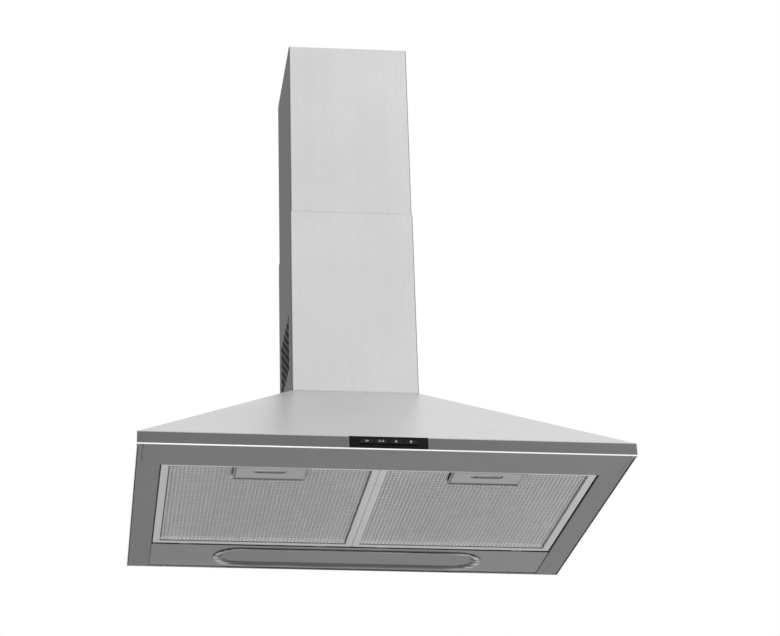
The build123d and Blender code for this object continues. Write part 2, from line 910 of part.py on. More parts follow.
# Double-inlet squirrel-cage wheel: forward-curved blades on a middle disc.
def impeller():
    half = wheel_width / 2
    mean_radius = (wheel_radius + wheel_inner_radius) / 2
    blade_line = Polyline(
        polar(wheel_inner_radius, 0),
        polar(mean_radius, blade_sweep * blade_bow),
        polar(wheel_radius, blade_sweep),
    )
    outline = offset(blade_line, blade_thickness, side=Side.LEFT, kind=Kind.INTERSECTION)
    blade = make_face(outline.edges())
    blades = [Rot(0, 0, index * 360 / blade_count) * blade for index in range(blade_count)]
    ring = Circle(wheel_radius + blade_thickness) - Circle(wheel_inner_radius - blade_thickness)
    cage = Pos(0, 0, -half) * extrude(Sketch() + blades, wheel_width)
    for low in (-half, half - wheel_ring):
        cage += Pos(0, 0, low) * extrude(ring, wheel_ring)
    disc = Circle(wheel_radius) - Circle(shaft_radius)
    cage += Pos(0, 0, -wheel_disc / 2) * extrude(disc, wheel_disc)
    hub = Circle(hub_radius) - Circle(shaft_radius)
    cage += Pos(0, 0, -hub_length / 2) * extrude(hub, hub_length)
    return Pos(0, wheel_y, wheel_z) * (Plane.YZ * cage)


# Duct adapter: a flange, a change from oblong to round, and a round collar.
def outlet_spigot():
    near, far = -outlet_from_wall, -outlet_from_wall - outlet_length_y
    flange_half = scroll_half + scroll_wall + outlet_flange
    flange_near = near + scroll_wall + outlet_flange
    flange_far = far - scroll_wall - outlet_flange
    flange_top = canopy_height + adapter_flange
    middle = (near + far) / 2
    spigot = block(
        (-flange_half, flange_half), (flange_far, flange_near), (canopy_height, flange_top)
    )
    wide = Rectangle(2 * (scroll_half + duct_wall), outlet_length_y + 2 * duct_wall)
    round_end = Circle(duct_radius)
    neck = loft(
        [Pos(0, middle, flange_top) * wide, Pos(0, -duct_from_wall, collar_base) * round_end]
    )
    spigot += neck
    spigot += rod(duct_radius, (0, -duct_from_wall, collar_base), (0, -duct_from_wall, collar_top))
    inside = Rectangle(2 * scroll_half, outlet_length_y)
    throat = Circle(duct_radius - duct_wall - flap_ledge)
    spigot -= loft(
        [Pos(0, middle, flange_top) * inside, Pos(0, -duct_from_wall, collar_base) * throat]
    )
    spigot -= block((-scroll_half, scroll_half), (far, near), (canopy_height, flange_top))
    bore = duct_radius - duct_wall
    spigot -= rod(bore, (0, -duct_from_wall, collar_base), (0, -duct_from_wall, collar_top))
    for x, y in outlet_screw_points():
        spigot -= rod(screw_radius, (x, y, canopy_height), (x, y, flange_top + duct_wall))
    for sign in (-1, 1):
        y = -duct_from_wall + sign * flap_spacing / 2
        spigot -= rod(
            flap_pin_radius + flap_pin_gap,
            (-duct_radius - duct_wall, y, flap_axis_z()),
            (duct_radius + duct_wall, y, flap_axis_z()),
        )
    return spigot


def flap_axis_z():
    return collar_base + flap_rest_gap + flap_barrel_radius


# Half-moon flap on two stub pins; sign -1 is the front one.
def flap(sign):
    base = collar_base + flap_rest_gap
    axis_y = -duct_from_wall + sign * flap_spacing / 2
    radius = duct_radius - duct_wall - flap_gap
    disc = rod(radius, (0, -duct_from_wall, base), (0, -duct_from_wall, base + flap_thickness))
    if sign < 0:
        keep_y = (-duct_from_wall - 2 * duct_radius, axis_y)
    else:
        keep_y = (axis_y, -duct_from_wall + 2 * duct_radius)
    leaf = disc & block((-2 * duct_radius, 2 * duct_radius), keep_y, (base, base + flap_thickness))
    barrel_half = math.sqrt(radius**2 - (flap_spacing / 2 + flap_barrel_radius) ** 2)
    z = flap_axis_z()
    leaf += rod(flap_barrel_radius, (-barrel_half, axis_y, z), (barrel_half, axis_y, z))
    pin_half = duct_radius - sheet
    leaf += rod(flap_pin_radius, (-pin_half, axis_y, z), (pin_half, axis_y, z))
    return leaf


# U-shaped chimney sheet with a return along each rear edge.
def chimney_sheet_part(half, face_y, rear_y, low, high):
    path = [
        (-half + chimney_return, rear_y),
        (-half, rear_y),
        (-half, face_y),
        (half, face_y),
        (half, rear_y),
        (half - chimney_return, rear_y),
    ]
    return Pos(0, 0, low) * extrude(folded(path, chimney_sheet, Side.LEFT), high - low)


def lower_chimney():
    half = chimney_width / 2
    sleeve = chimney_sheet_part(
        half, -chimney_depth, -chimney_wall_gap, canopy_height, lower_chimney_top
    )
    column_step = vent_pitch * math.sqrt(3) / 2
    holes = Sketch()
    hexagon = RegularPolygon(vent_across / 2, 6, major_radius=False)
    for column in range(vent_columns):
        y = -vent_middle + (column - (vent_columns - 1) / 2) * column_step
        shift = vent_pitch / 2 if column % 2 else 0
        for row in range(vent_rows - column % 2):
            z = canopy_height + vent_base + vent_across / 2 + row * vent_pitch + shift
            holes += Pos(y, z) * hexagon
    return sleeve - extrude(Plane.YZ * holes, half + chimney_sheet, both=True)


def upper_chimney():
    step = chimney_sheet + telescope_gap
    half = chimney_width / 2 - step
    sleeve = chimney_sheet_part(
        half,
        -chimney_depth + step,
        -chimney_wall_gap - step,
        upper_chimney_base,
        upper_chimney_top,
    )
    notch_base = upper_chimney_top - upper_bracket_drop - upper_bracket_height - telescope_gap
    inner = half - chimney_sheet
    for sign in (-1, 1):
        spans = sorted((sign * (half - chimney_return - sheet), sign * inner))
        notch = block(
            tuple(spans),
            (-chimney_wall_gap - step - 2 * fold_radius, 0),
            (notch_base, upper_chimney_top),
        )
        sleeve -= notch
    return sleeve


# Wall bracket inside the chimney's top, with an ear against each side.
def upper_bracket():
    inner = chimney_width / 2 - 2 * chimney_sheet - telescope_gap
    top = upper_chimney_top - upper_bracket_drop
    low = top - upper_bracket_height
    path = [(-inner, -upper_bracket_ear), (-inner, 0), (inner, 0), (inner, -upper_bracket_ear)]
    section = folded(path, upper_bracket_thickness, Side.RIGHT)
    bracket = Pos(0, 0, low) * extrude(section, upper_bracket_height)
    for sign in (-1, 1):
        x = sign * upper_bracket_hole_spacing / 2
        z = (low + top) / 2
        bracket -= rod(upper_bracket_hole_radius, (x, -2 * upper_bracket_thickness, z), (x, sheet, z))
    return bracket


# Two angle clips on the canopy's top that the lower chimney drops over.
def chimney_clips():
    inner = chimney_width / 2 - chimney_sheet
    near, far = -clip_from_wall + clip_width / 2, -clip_from_wall - clip_width / 2
    clips = []
    for sign in (-1, 1):
        foot = sorted((sign * (inner - clip_size), sign * inner))
        wall = sorted((sign * (inner - clip_thickness), sign * inner))
        base = canopy_height
        clip = block(tuple(foot), (far, near), (base, base + clip_thickness))
        clip += block(tuple(wall), (far, near), (base, base + clip_size))
        x = sign * (inner - clip_size / 2)
        clip -= rod(screw_radius, (x, -clip_from_wall, base - sheet), (x, -clip_from_wall, base + clip_size))
        clips.append(clip)
    return Compound(children=clips)


def clip_screws():
    seat = canopy_height + clip_thickness
    screws = [hex_screw((x, y, seat), (0, 0, -1), clip_size / 2) for x, y in clip_screw_points()]
    return Compound(children=screws)


def blower_screws():
    seat = canopy_height + adapter_flange
    length = seat - plate_under + outlet_flange_thickness + sheet
    screws = [hex_screw((x, y, seat), (0, 0, -1), length) for x, y in outlet_screw_points()]
    return Compound(children=screws)


# Terminal box on the back panel, open to the front under its lid.
def terminal_box():
    x0, x1 = box_centre_x - box_width / 2, box_centre_x + box_width / 2
    y0, y1 = -sheet - box_depth, -sheet
    z0, z1 = box_base, box_base + box_height
    case = block((x0, x1), (y0, y1), (z0, z1))
    case = fillet(case.edges().filter_by(Axis.Y), box_wall)
    case -= block(
        (x0 + box_wall, x1 - box_wall), (y0 - box_wall, y1 - box_wall), (z0 + box_wall, z1 - box_wall)
    )
    boss_radius = 2 * screw_radius
    for x, z in lid_screw_points():
        case += rod(boss_radius, (x, y0, z), (x, y1 - box_wall, z))
        case -= rod(screw_radius, (x, y0 - box_wall, z), (x, y1 - 2 * box_wall, z))
    return case


def lid_screw_points():
    inset = box_wall + 2 * screw_radius - sheet
    left = box_centre_x - box_width / 2 + inset
    right = box_centre_x + box_width / 2 - inset
    return [(left, box_base + inset), (right, box_base + box_height - inset)]


def terminal_box_lid():
    x0, x1 = box_centre_x - box_width / 2, box_centre_x + box_width / 2
    face = -sheet - box_depth
    lid = block((x0, x1), (face - box_lid, face), (box_base, box_base + box_height))
    lid = fillet(lid.edges().filter_by(Axis.Y), box_wall)
    for x, z in lid_screw_points():
        lid -= rod(screw_radius, (x, face - 2 * box_lid, z), (x, face + box_lid, z))
    return lid


def lid_screws():
    seat = -sheet - box_depth - box_lid
    screws = [
        hex_screw((x, seat, z), (0, 1, 0), box_depth - 2 * box_wall) for x, z in lid_screw_points()
    ]
    return Compound(children=screws)


def capacitor_y():
    return -sheet - clamp_thickness - capacitor_radius


def capacitor():
    y = capacitor_y()
    end = capacitor_x + capacitor_length
    can = rod(capacitor_radius, (capacitor_x, y, capacitor_z), (end, y, capacitor_z))
    can = chamfer(can.edges().filter_by(GeomType.CIRCLE), clamp_thickness)
    stud = screw_radius
    for sign in (-1, 1):
        z = capacitor_z + sign * 2 * screw_radius
        can += block((end, end + 3 * stud), (y - stud, y + stud), (z - sheet, z + sheet))
    return can


def capacitor_clamp():
    y = capacitor_y()
    low = capacitor_x + (capacitor_length - clamp_width) / 2
    high = low + clamp_width
    outer = capacitor_radius + clamp_thickness
    clamp = tube(outer, capacitor_radius, (low, y, capacitor_z), (high, y, capacitor_z))
    foot_reach = outer + clamp_width
    clamp += block(
        (low, high),
        (-sheet - clamp_thickness, -sheet),
        (capacitor_z - foot_reach, capacitor_z + foot_reach),
    )
    return clamp - rod(capacitor_radius, (low, y, capacitor_z), (high, y, capacitor_z))


def cable_gland():
    y = -gland_from_wall
    top = canopy_height + gland_flange
    gland = rod(gland_radius, (gland_x, y, plate_under - gland_drop), (gland_x, y, top))
    gland += rod(gland_flange_radius, (gland_x, y, canopy_height), (gland_x, y, top))
    return gland - rod(gland_bore_radius, (gland_x, y, plate_under - gland_drop), (gland_x, y, top))


def gland_nut():
    nut = RegularPolygon(gland_flange_radius, 6) - Circle(gland_radius)
    return Pos(gland_x, -gland_from_wall, plate_under - gland_nut_height) * extrude(
        nut, gland_nut_height
    )


pieces = {
    "canopy_shell": canopy_shell(),
    "back_panel": back_panel(),
    "front_fascia": front_fascia(),
    "left_side_rail": left_side_rail(),
    "right_side_rail": right_side_rail(),
    "rear_light_panel": rear_light_panel(),
    "lamp_lens": lamp_lens(),
    "lamp_housing": lamp_housing(),
    "left_lamp_holder": mirrored(right_lamp_holder()),
    "right_lamp_holder": right_lamp_holder(),
    "left_bulb": mirrored(right_bulb()),
    "right_bulb": right_bulb(),
    "control_panel": control_panel(),
    "switch_block": switch_block(),
    "left_filter_frame": filter_frame(-1),
    "right_filter_frame": filter_frame(1),
    "left_filter_mesh": filter_mesh(-1),
    "right_filter_mesh": filter_mesh(1),
    "left_filter_latch": filter_latch(-1),
    "right_filter_latch": filter_latch(1),
    "left_blower_housing": blower_half(-1),
    "right_blower_housing": blower_half(1),
    "motor_bracket": motor_bracket(),
    "motor_grommets": motor_grommets(),
    "motor_body": motor_body(),
    "motor_shaft": motor_shaft(),
    "impeller": impeller(),
    "outlet_spigot": outlet_spigot(),
    "front_flap": flap(-1),
    "rear_flap": flap(1),
    "blower_screws": blower_screws(),
    "lower_chimney": lower_chimney(),
    "upper_chimney": upper_chimney(),
    "upper_bracket": upper_bracket(),
    "chimney_clips": chimney_clips(),
    "clip_screws": clip_screws(),
    "terminal_box": terminal_box(),
    "terminal_box_lid": terminal_box_lid(),
    "lid_screws": lid_screws(),
    "capacitor": capacitor(),
    "capacitor_clamp": capacitor_clamp(),
    "cable_gland": cable_gland(),
    "gland_nut": gland_nut(),
}
button_names = ("lamp_button", "speed_one_button", "speed_two_button", "speed_three_button")
for index, name in enumerate(button_names):
    pieces[name] = button(index)

os.makedirs("parts", exist_ok=True)
for name, piece in pieces.items():
    export_step(piece, f"parts/{name}.step")
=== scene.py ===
import math

import bmesh
import bpy
from mathutils import Matrix, Vector


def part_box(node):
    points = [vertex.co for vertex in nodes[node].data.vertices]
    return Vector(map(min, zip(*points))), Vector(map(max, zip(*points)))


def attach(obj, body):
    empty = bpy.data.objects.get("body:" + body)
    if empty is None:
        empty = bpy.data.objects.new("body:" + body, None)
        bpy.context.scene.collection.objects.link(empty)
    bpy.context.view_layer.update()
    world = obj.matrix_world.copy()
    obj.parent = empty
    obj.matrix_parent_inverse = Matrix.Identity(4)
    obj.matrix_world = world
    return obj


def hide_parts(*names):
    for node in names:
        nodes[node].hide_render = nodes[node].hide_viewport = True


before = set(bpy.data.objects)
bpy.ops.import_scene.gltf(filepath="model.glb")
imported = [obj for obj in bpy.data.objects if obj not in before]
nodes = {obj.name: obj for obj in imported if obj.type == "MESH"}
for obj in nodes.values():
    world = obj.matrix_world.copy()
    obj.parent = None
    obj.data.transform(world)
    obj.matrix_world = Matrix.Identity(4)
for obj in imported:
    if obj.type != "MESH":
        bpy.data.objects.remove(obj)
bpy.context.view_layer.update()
mm = 0.001
print("frame loaded:", len(nodes), "nodes")


# Helpers for node trees.
def addNode(tree, kind, **settings):
    node = tree.nodes.new(kind)
    for name, value in settings.items():
        setattr(node, name, value)
    return node


def setInputs(node, values):
    for name, value in values.items():
        node.inputs[name].default_value = value
    return node


def mathNode(tree, operation, first, second=None, clamp=False):
    node = addNode(tree, "ShaderNodeMath", operation=operation, use_clamp=clamp)
    for socket, value in zip(node.inputs, (first, second)):
        if value is None:
            continue
        if isinstance(value, (int, float)):
            socket.default_value = value
        else:
            tree.links.new(value, socket)
    return node.outputs[0]


def rangeNode(tree, value, low, high, toLow=0.0, toHigh=1.0, smooth=False):
    node = addNode(tree, "ShaderNodeMapRange")
    if smooth:
        node.interpolation_type = "SMOOTHSTEP"
    setInputs(node, {"From Min": low, "From Max": high, "To Min": toLow, "To Max": toHigh})
    tree.links.new(value, node.inputs["Value"])
    return node.outputs["Result"]


# A value that swings round its middle as a pattern goes from 0 to 1.
def swingNode(tree, pattern, middle, swing):
    return rangeNode(tree, pattern, 0.0, 1.0, middle + swing[0], middle + swing[1])


def noiseNode(tree, vector, scale, detail=3.0, roughness=0.5):
    node = addNode(tree, "ShaderNodeTexNoise")
    setInputs(node, {"Scale": scale, "Detail": detail, "Roughness": roughness})
    tree.links.new(vector, node.inputs["Vector"])
    return node.outputs["Fac"]


def mixColour(tree, factor, first, second):
    node = addNode(tree, "ShaderNodeMix", data_type="RGBA")
    for socket, value in ((node.inputs[0], factor), (node.inputs[6], first), (node.inputs[7], second)):
        if hasattr(value, "links"):
            tree.links.new(value, socket)
        elif isinstance(value, (int, float)):
            socket.default_value = value
        else:
            socket.default_value = (*value, 1.0)
    return node.outputs[2]


def splitAxes(tree, vector):
    node = addNode(tree, "ShaderNodeSeparateXYZ")
    tree.links.new(vector, node.inputs[0])
    return node.outputs


def newGroup(name, inputs, outputs):
    group = bpy.data.node_groups.new(name, "ShaderNodeTree")
    for label, kind, value in inputs:
        socket = group.interface.new_socket(name=label, in_out="INPUT", socket_type=kind)
        if value is not None:
            socket.default_value = value
    for label, kind in outputs:
        group.interface.new_socket(name=label, in_out="OUTPUT", socket_type=kind)
    return group, addNode(group, "NodeGroupInput"), addNode(group, "NodeGroupOutput")


def placeGroup(tree, group, vector=None, **values):
    node = addNode(tree, "ShaderNodeGroup")
    node.node_tree = group
    if vector is not None:
        tree.links.new(vector, node.inputs["Vector"])
    for name, value in values.items():
        node.inputs[name].default_value = value
    return node


# Effects that several finishes share, with the scales of their noises per metre.
floatKind = "NodeSocketFloat"
vectorKind = "NodeSocketVector"
noiseScales = {
    "wipingLarge": 5.0,
    "wipingSmall": 42.0,
    "mouldingFlow": 26.0,
    "zincFrost": 900.0,
    "dustPatches": 18.0,
    "shadeAndGrimeSmear": 90.0,
}


# Long fine scratches of a brushing belt, plus the broad bands that it leaves.
def makeBrushing():
    group, given, result = newGroup(
        "brushing",
        [("Vector", vectorKind, None), ("Band", floatKind, 0.2)],
        [("Streak", floatKind), ("Height", floatKind)],
    )
    fine = noiseNode(group, given.outputs["Vector"], 1.0, 5.0, 0.65)
    broad = noiseNode(group, given.outputs["Vector"], 0.035, 2.0)
    blend = addNode(group, "ShaderNodeMix", data_type="FLOAT")
    group.links.new(given.outputs["Band"], blend.inputs[0])
    group.links.new(fine, blend.inputs[2])
    group.links.new(broad, blend.inputs[3])
    group.links.new(rangeNode(group, blend.outputs[0], 0.3, 0.7), result.inputs["Streak"])
    group.links.new(fine, result.inputs["Height"])
    return group


# Line where two faces meet, broken up along its length: wear on the edges of zinc, aluminium and plastic,
# painted highlight lines along most steel folds and painted shade lines along the chimney's.
def makeEdgeWearAndPaintedLight():
    group, given, result = newGroup(
        "edgeWearAndPaintedLight",
        [("Vector", vectorKind, None), ("Radius", floatKind, 0.0006), ("Breakup", floatKind, 60.0)],
        [("Mask", floatKind)],
    )
    bevel = addNode(group, "ShaderNodeBevel", samples=4)
    group.links.new(given.outputs["Radius"], bevel.inputs["Radius"])
    geometry = addNode(group, "ShaderNodeNewGeometry")
    facing = addNode(group, "ShaderNodeVectorMath", operation="DOT_PRODUCT")
    group.links.new(bevel.outputs[0], facing.inputs[0])
    group.links.new(geometry.outputs["True Normal"], facing.inputs[1])
    edge = rangeNode(group, facing.outputs["Value"], 0.985, 0.8)
    grain = addNode(group, "ShaderNodeTexNoise")
    grain.inputs["Detail"].default_value = 4.0
    group.links.new(given.outputs["Vector"], grain.inputs["Vector"])
    group.links.new(given.outputs["Breakup"], grain.inputs["Scale"])
    broken = rangeNode(group, grain.outputs["Fac"], 0.3, 0.6)
    group.links.new(mathNode(group, "MULTIPLY", edge, broken, True), result.inputs["Mask"])
    return group


# Cloudy traces of wiping, large and small.
def makeWiping():
    group, given, result = newGroup(
        "wiping", [("Vector", vectorKind, None)], [("Cloud", floatKind), ("Spots", floatKind)]
    )
    large = noiseNode(group, given.outputs["Vector"], noiseScales["wipingLarge"], 3.0, 0.55)
    small = noiseNode(group, given.outputs["Vector"], noiseScales["wipingSmall"], 4.0, 0.6)
    group.links.new(rangeNode(group, large, 0.3, 0.7, smooth=True), result.inputs["Cloud"])
    group.links.new(rangeNode(group, small, 0.58, 0.75), result.inputs["Spots"])
    return group


# Fine spark-eroded texture of a moulding tool, with a little flow shading.
def makeMouldedSkin():
    group, given, result = newGroup(
        "mouldedSkin",
        [("Vector", vectorKind, None), ("Grain Scale", floatKind, 2200.0)],
        [("Tone", floatKind), ("Height", floatKind)],
    )
    cells = addNode(group, "ShaderNodeTexVoronoi", feature="SMOOTH_F1")
    group.links.new(given.outputs["Vector"], cells.inputs["Vector"])
    group.links.new(given.outputs["Grain Scale"], cells.inputs["Scale"])
    flow = noiseNode(group, given.outputs["Vector"], noiseScales["mouldingFlow"])
    group.links.new(rangeNode(group, flow, 0.3, 0.7), result.inputs["Tone"])
    group.links.new(cells.outputs["Distance"], result.inputs["Height"])
    return group


# Flower-like crystals of hot-dip zinc.
def makeSpangle():
    group, given, result = newGroup(
        "spangle",
        [("Vector", vectorKind, None), ("Crystal Scale", floatKind, 140.0)],
        [("Tone", floatKind), ("Height", floatKind)],
    )
    cells = addNode(group, "ShaderNodeTexVoronoi", feature="F1")
    group.links.new(given.outputs["Vector"], cells.inputs["Vector"])
    group.links.new(given.outputs["Crystal Scale"], cells.inputs["Scale"])
    split = addNode(group, "ShaderNodeSeparateColor")
    group.links.new(cells.outputs["Color"], split.inputs[0])
    frost = noiseNode(group, given.outputs["Vector"], noiseScales["zincFrost"], 2.0)
    tone = mathNode(group, "MULTIPLY_ADD", frost, 0.35)
    group.links.new(split.outputs[0], tone.node.inputs[2])
    group.links.new(tone, result.inputs["Tone"])
    group.links.new(cells.outputs["Distance"], result.inputs["Height"])
    return group


# Dust that has settled on what faces up.
def makeDust():
    group, given, result = newGroup("dust", [("Vector", vectorKind, None)], [("Mask", floatKind)])
    geometry = addNode(group, "ShaderNodeNewGeometry")
    upward = rangeNode(group, splitAxes(group, geometry.outputs["Normal"])["Z"], 0.55, 1.0)
    patches = noiseNode(group, given.outputs["Vector"], noiseScales["dustPatches"], 6.0, 0.7)
    patches = rangeNode(group, patches, 0.35, 0.75)
    group.links.new(mathNode(group, "MULTIPLY", upward, patches, True), result.inputs["Mask"])
    return group


# Painted shade, and grime, where one piece lies close to another.
def makeSeamShadeAndGrime():
    group, given, result = newGroup(
        "seamShadeAndGrime", [("Vector", vectorKind, None), ("Reach", floatKind, 0.003)], [("Mask", floatKind)]
    )
    hollow = addNode(group, "ShaderNodeAmbientOcclusion", samples=6)
    group.links.new(given.outputs["Reach"], hollow.inputs["Distance"])
    closed = rangeNode(group, hollow.outputs["AO"], 0.35, 0.9, 1.0, 0.0)
    smear = noiseNode(group, given.outputs["Vector"], noiseScales["shadeAndGrimeSmear"], 3.0, 0.6)
    smear = rangeNode(group, smear, 0.2, 0.6, 0.75, 1.0)
    group.links.new(mathNode(group, "MULTIPLY", closed, smear, True), result.inputs["Mask"])
    return group


def squared(group, value):
    return mathNode(group, "POWER", mathNode(group, "MAXIMUM", value, 0.0), 2.0)


# Painted shadow in the gap round a rounded rectangle that is drawn in X and Y.
def makeSeamLine():
    group, given, result = newGroup(
        "seamLine",
        [
            ("Vector", vectorKind, None),
            ("Centre", vectorKind, None),
            ("Half Size", vectorKind, None),
            ("Radius", floatKind, 0.01),
            ("Width", floatKind, 0.001),
        ],
        [("Mask", floatKind)],
    )
    apart = addNode(group, "ShaderNodeVectorMath", operation="SUBTRACT")
    group.links.new(given.outputs["Vector"], apart.inputs[0])
    group.links.new(given.outputs["Centre"], apart.inputs[1])
    folded = addNode(group, "ShaderNodeVectorMath", operation="ABSOLUTE")
    group.links.new(apart.outputs[0], folded.inputs[0])
    beyond = addNode(group, "ShaderNodeVectorMath", operation="SUBTRACT")
    group.links.new(folded.outputs[0], beyond.inputs[0])
    group.links.new(given.outputs["Half Size"], beyond.inputs[1])
    axes = splitAxes(group, beyond.outputs[0])
    radius = given.outputs["Radius"]
    x = mathNode(group, "ADD", axes["X"], radius)
    y = mathNode(group, "ADD", axes["Y"], radius)
    corner = mathNode(group, "SQRT", mathNode(group, "ADD", squared(group, x), squared(group, y)))
    inside = mathNode(group, "MINIMUM", mathNode(group, "MAXIMUM", x, y), 0.0)
    away = mathNode(group, "SUBTRACT", mathNode(group, "ADD", corner, inside), radius)
    share = mathNode(group, "DIVIDE", mathNode(group, "ABSOLUTE", away), given.outputs["Width"])
    group.links.new(rangeNode(group, share, 0.6, 1.0, 1.0, 0.0), result.inputs["Mask"])
    return group


brushing = makeBrushing()
edgeWearAndPaintedLight = makeEdgeWearAndPaintedLight()
wiping = makeWiping()
mouldedSkin = makeMouldedSkin()
spangle = makeSpangle()
dust = makeDust()
seamShadeAndGrime = makeSeamShadeAndGrime()
seamLine = makeSeamLine()
print("shared effects made")


# A material with its shader, its tree and the plain Object coordinates.
def newFinish(name):
    material = bpy.data.materials.new(name)
    material.use_nodes = True
    tree = material.node_tree
    shader = tree.nodes["Principled BSDF"]
    place = addNode(tree, "ShaderNodeTexCoord").outputs["Object"]
    return material, tree, shader, place


def addBump(tree, shader, height, strength, distance):
    bump = addNode(tree, "ShaderNodeBump")
    setInputs(bump, {"Strength": strength, "Distance": distance})
    tree.links.new(height, bump.inputs["Height"])
    tree.links.new(bump.outputs["Normal"], shader.inputs["Normal"])


def stretch(tree, place, scale):
    mapping = addNode(tree, "ShaderNodeMapping")
    mapping.inputs["Scale"].default_value = scale
    tree.links.new(place, mapping.inputs["Vector"])
    return mapping.outputs["Vector"]


# Object coordinates squeezed along the grain of a brushed finish.
def grainPlace(tree, place, grain, look):
    scale = [look["alongGrain"] if axis == grain else look["acrossGrain"] for axis in "XYZ"]
    return stretch(tree, place, scale)


# A colour that the later steps of a finish can change.
def plainColour(tree, colour):
    node = addNode(tree, "ShaderNodeRGB")
    node.outputs[0].default_value = (*colour, 1.0)
    return node.outputs[0]


def scaled(tree, colour, factor):
    node = addNode(tree, "ShaderNodeVectorMath", operation="SCALE")
    tree.links.new(colour, node.inputs[0])
    tree.links.new(factor, node.inputs["Scale"])
    return node.outputs[0]


# Stainless sheet, brushed along one axis. Its grain is in lines per metre.
steelLook = {
    "acrossGrain": 3200.0,
    "alongGrain": 26.0,
    "streakSwing": (-0.035, 0.035),  # share by which a streak darkens or lightens the colour
    "cloudSwing": (-0.03, 0.03),
    "roughnessSwing": (-0.07, 0.07),
    "spotRoughness": 0.05,
    "bump": 0.12,
    "bumpDistance": 0.04 * mm,
    # Painted line along each steel fold: its breakup, share and colour; the bright colour paints a
    # highlight, a dark one paints shade.
    "foldBreakup": 12.0,
    "foldPaintedShare": 0.6,
    "foldColour": (0.9, 0.9, 0.9),
    "hem": (15.7 * mm, 16.1 * mm),
    # Colour, share and reach of the painted shade and grime where pieces lie close; the colour also
    # darkens the seams.
    "shadeAndGrime": (0.02, 0.02, 0.02),
    "shadeAndGrimeShare": 0.9,
    "shadeAndGrimeReach": 4 * mm,
}

# Where one sheet lies on the next, a painted shadow in the gap: the outline's half size and radius, and
# how dark the gap is.
flangeSeam = {
    "centre": (0, -482.5 * mm, 0),
    "half": (292.6 * mm, 77.5 * mm, 0),
    "radius": 13 * mm,
    "share": 0.75,
}
railSeam = {"centre": (0, 0, 0), "half": (269 * mm, 1, 0), "radius": 0.0, "share": 0.9}
seamLook = {"width": 1.3 * mm, "outsideOf": 268 * mm}


def seamShade(tree, place, base, seam, normalZ):
    shape = {"Centre": seam["centre"], "Half Size": seam["half"], "Radius": seam["radius"]}
    line = placeGroup(tree, seamLine, place, Width=seamLook["width"], **shape)
    aside = mathNode(tree, "ABSOLUTE", splitAxes(tree, place)["X"])
    outer = mathNode(tree, "GREATER_THAN", aside, seamLook["outsideOf"])
    below = mathNode(tree, "LESS_THAN", normalZ, -0.5)
    shade = mathNode(tree, "MULTIPLY", line.outputs["Mask"], mathNode(tree, "MULTIPLY", outer, below))
    return mixColour(tree, mathNode(tree, "MULTIPLY", shade, seam["share"]), base, steelLook["shadeAndGrime"])


# Vents of the chimney: two sets of columns, the second half a step higher.
ventLook = {
    "middle": {"Y": -86 * mm, "Z": 279.9 * mm},
    "half": {"Y": 60 * mm, "Z": 43 * mm},
    "columnStep": 10.392 * mm,
    "rowStep": 12 * mm,
    "rim": 5.55 * mm,  # from a vent's middle to the outside of its rim, across the flats
    # Colour of the painted shade in and round the vents.
    "colour": (0.04, 0.04, 0.04),
    "columns": (
        {"shift": (1, 0), "reach": (58.5 * mm, 42 * mm)},
        {"shift": (0, 0.5), "reach": (50 * mm, 36 * mm)},
    ),
}


# Painted shade on the cut walls of the vents and on the punched rims round them, where the vents look
# dark.
def ventShade(tree, place, base, normalX):
    axes = splitAxes(tree, place)
    y, z = [mathNode(tree, "SUBTRACT", axes[axis], ventLook["middle"][axis]) for axis in "YZ"]
    away = [mathNode(tree, "ABSOLUTE", value) for value in (y, z)]
    paintedVentShade = mathNode(tree, "LESS_THAN", mathNode(tree, "ABSOLUTE", normalX), 0.5)
    for value, axis in zip(away, "YZ"):
        paintedVentShade = mathNode(tree, "MULTIPLY", paintedVentShade, mathNode(tree, "LESS_THAN", value, ventLook["half"][axis]))
    for column in ventLook["columns"]:
        along, up = column["shift"]
        foldedY = mathNode(tree, "SUBTRACT", y, along * ventLook["columnStep"])
        foldedY = mathNode(tree, "PINGPONG", foldedY, ventLook["columnStep"])
        foldedZ = mathNode(tree, "SUBTRACT", z, up * ventLook["rowStep"])
        foldedZ = mathNode(tree, "PINGPONG", foldedZ, ventLook["rowStep"] / 2)
        leaning = mathNode(tree, "MULTIPLY", foldedY, math.cos(math.radians(30)))
        leaning = mathNode(tree, "ADD", leaning, mathNode(tree, "MULTIPLY", foldedZ, 0.5))
        rim = mathNode(tree, "LESS_THAN", mathNode(tree, "MAXIMUM", foldedZ, leaning), ventLook["rim"])
        for value, reach in zip(away, column["reach"]):
            rim = mathNode(tree, "MULTIPLY", rim, mathNode(tree, "LESS_THAN", value, reach))
        paintedVentShade = mathNode(tree, "MAXIMUM", paintedVentShade, rim)
    return mixColour(tree, paintedVentShade, base, ventLook["colour"])


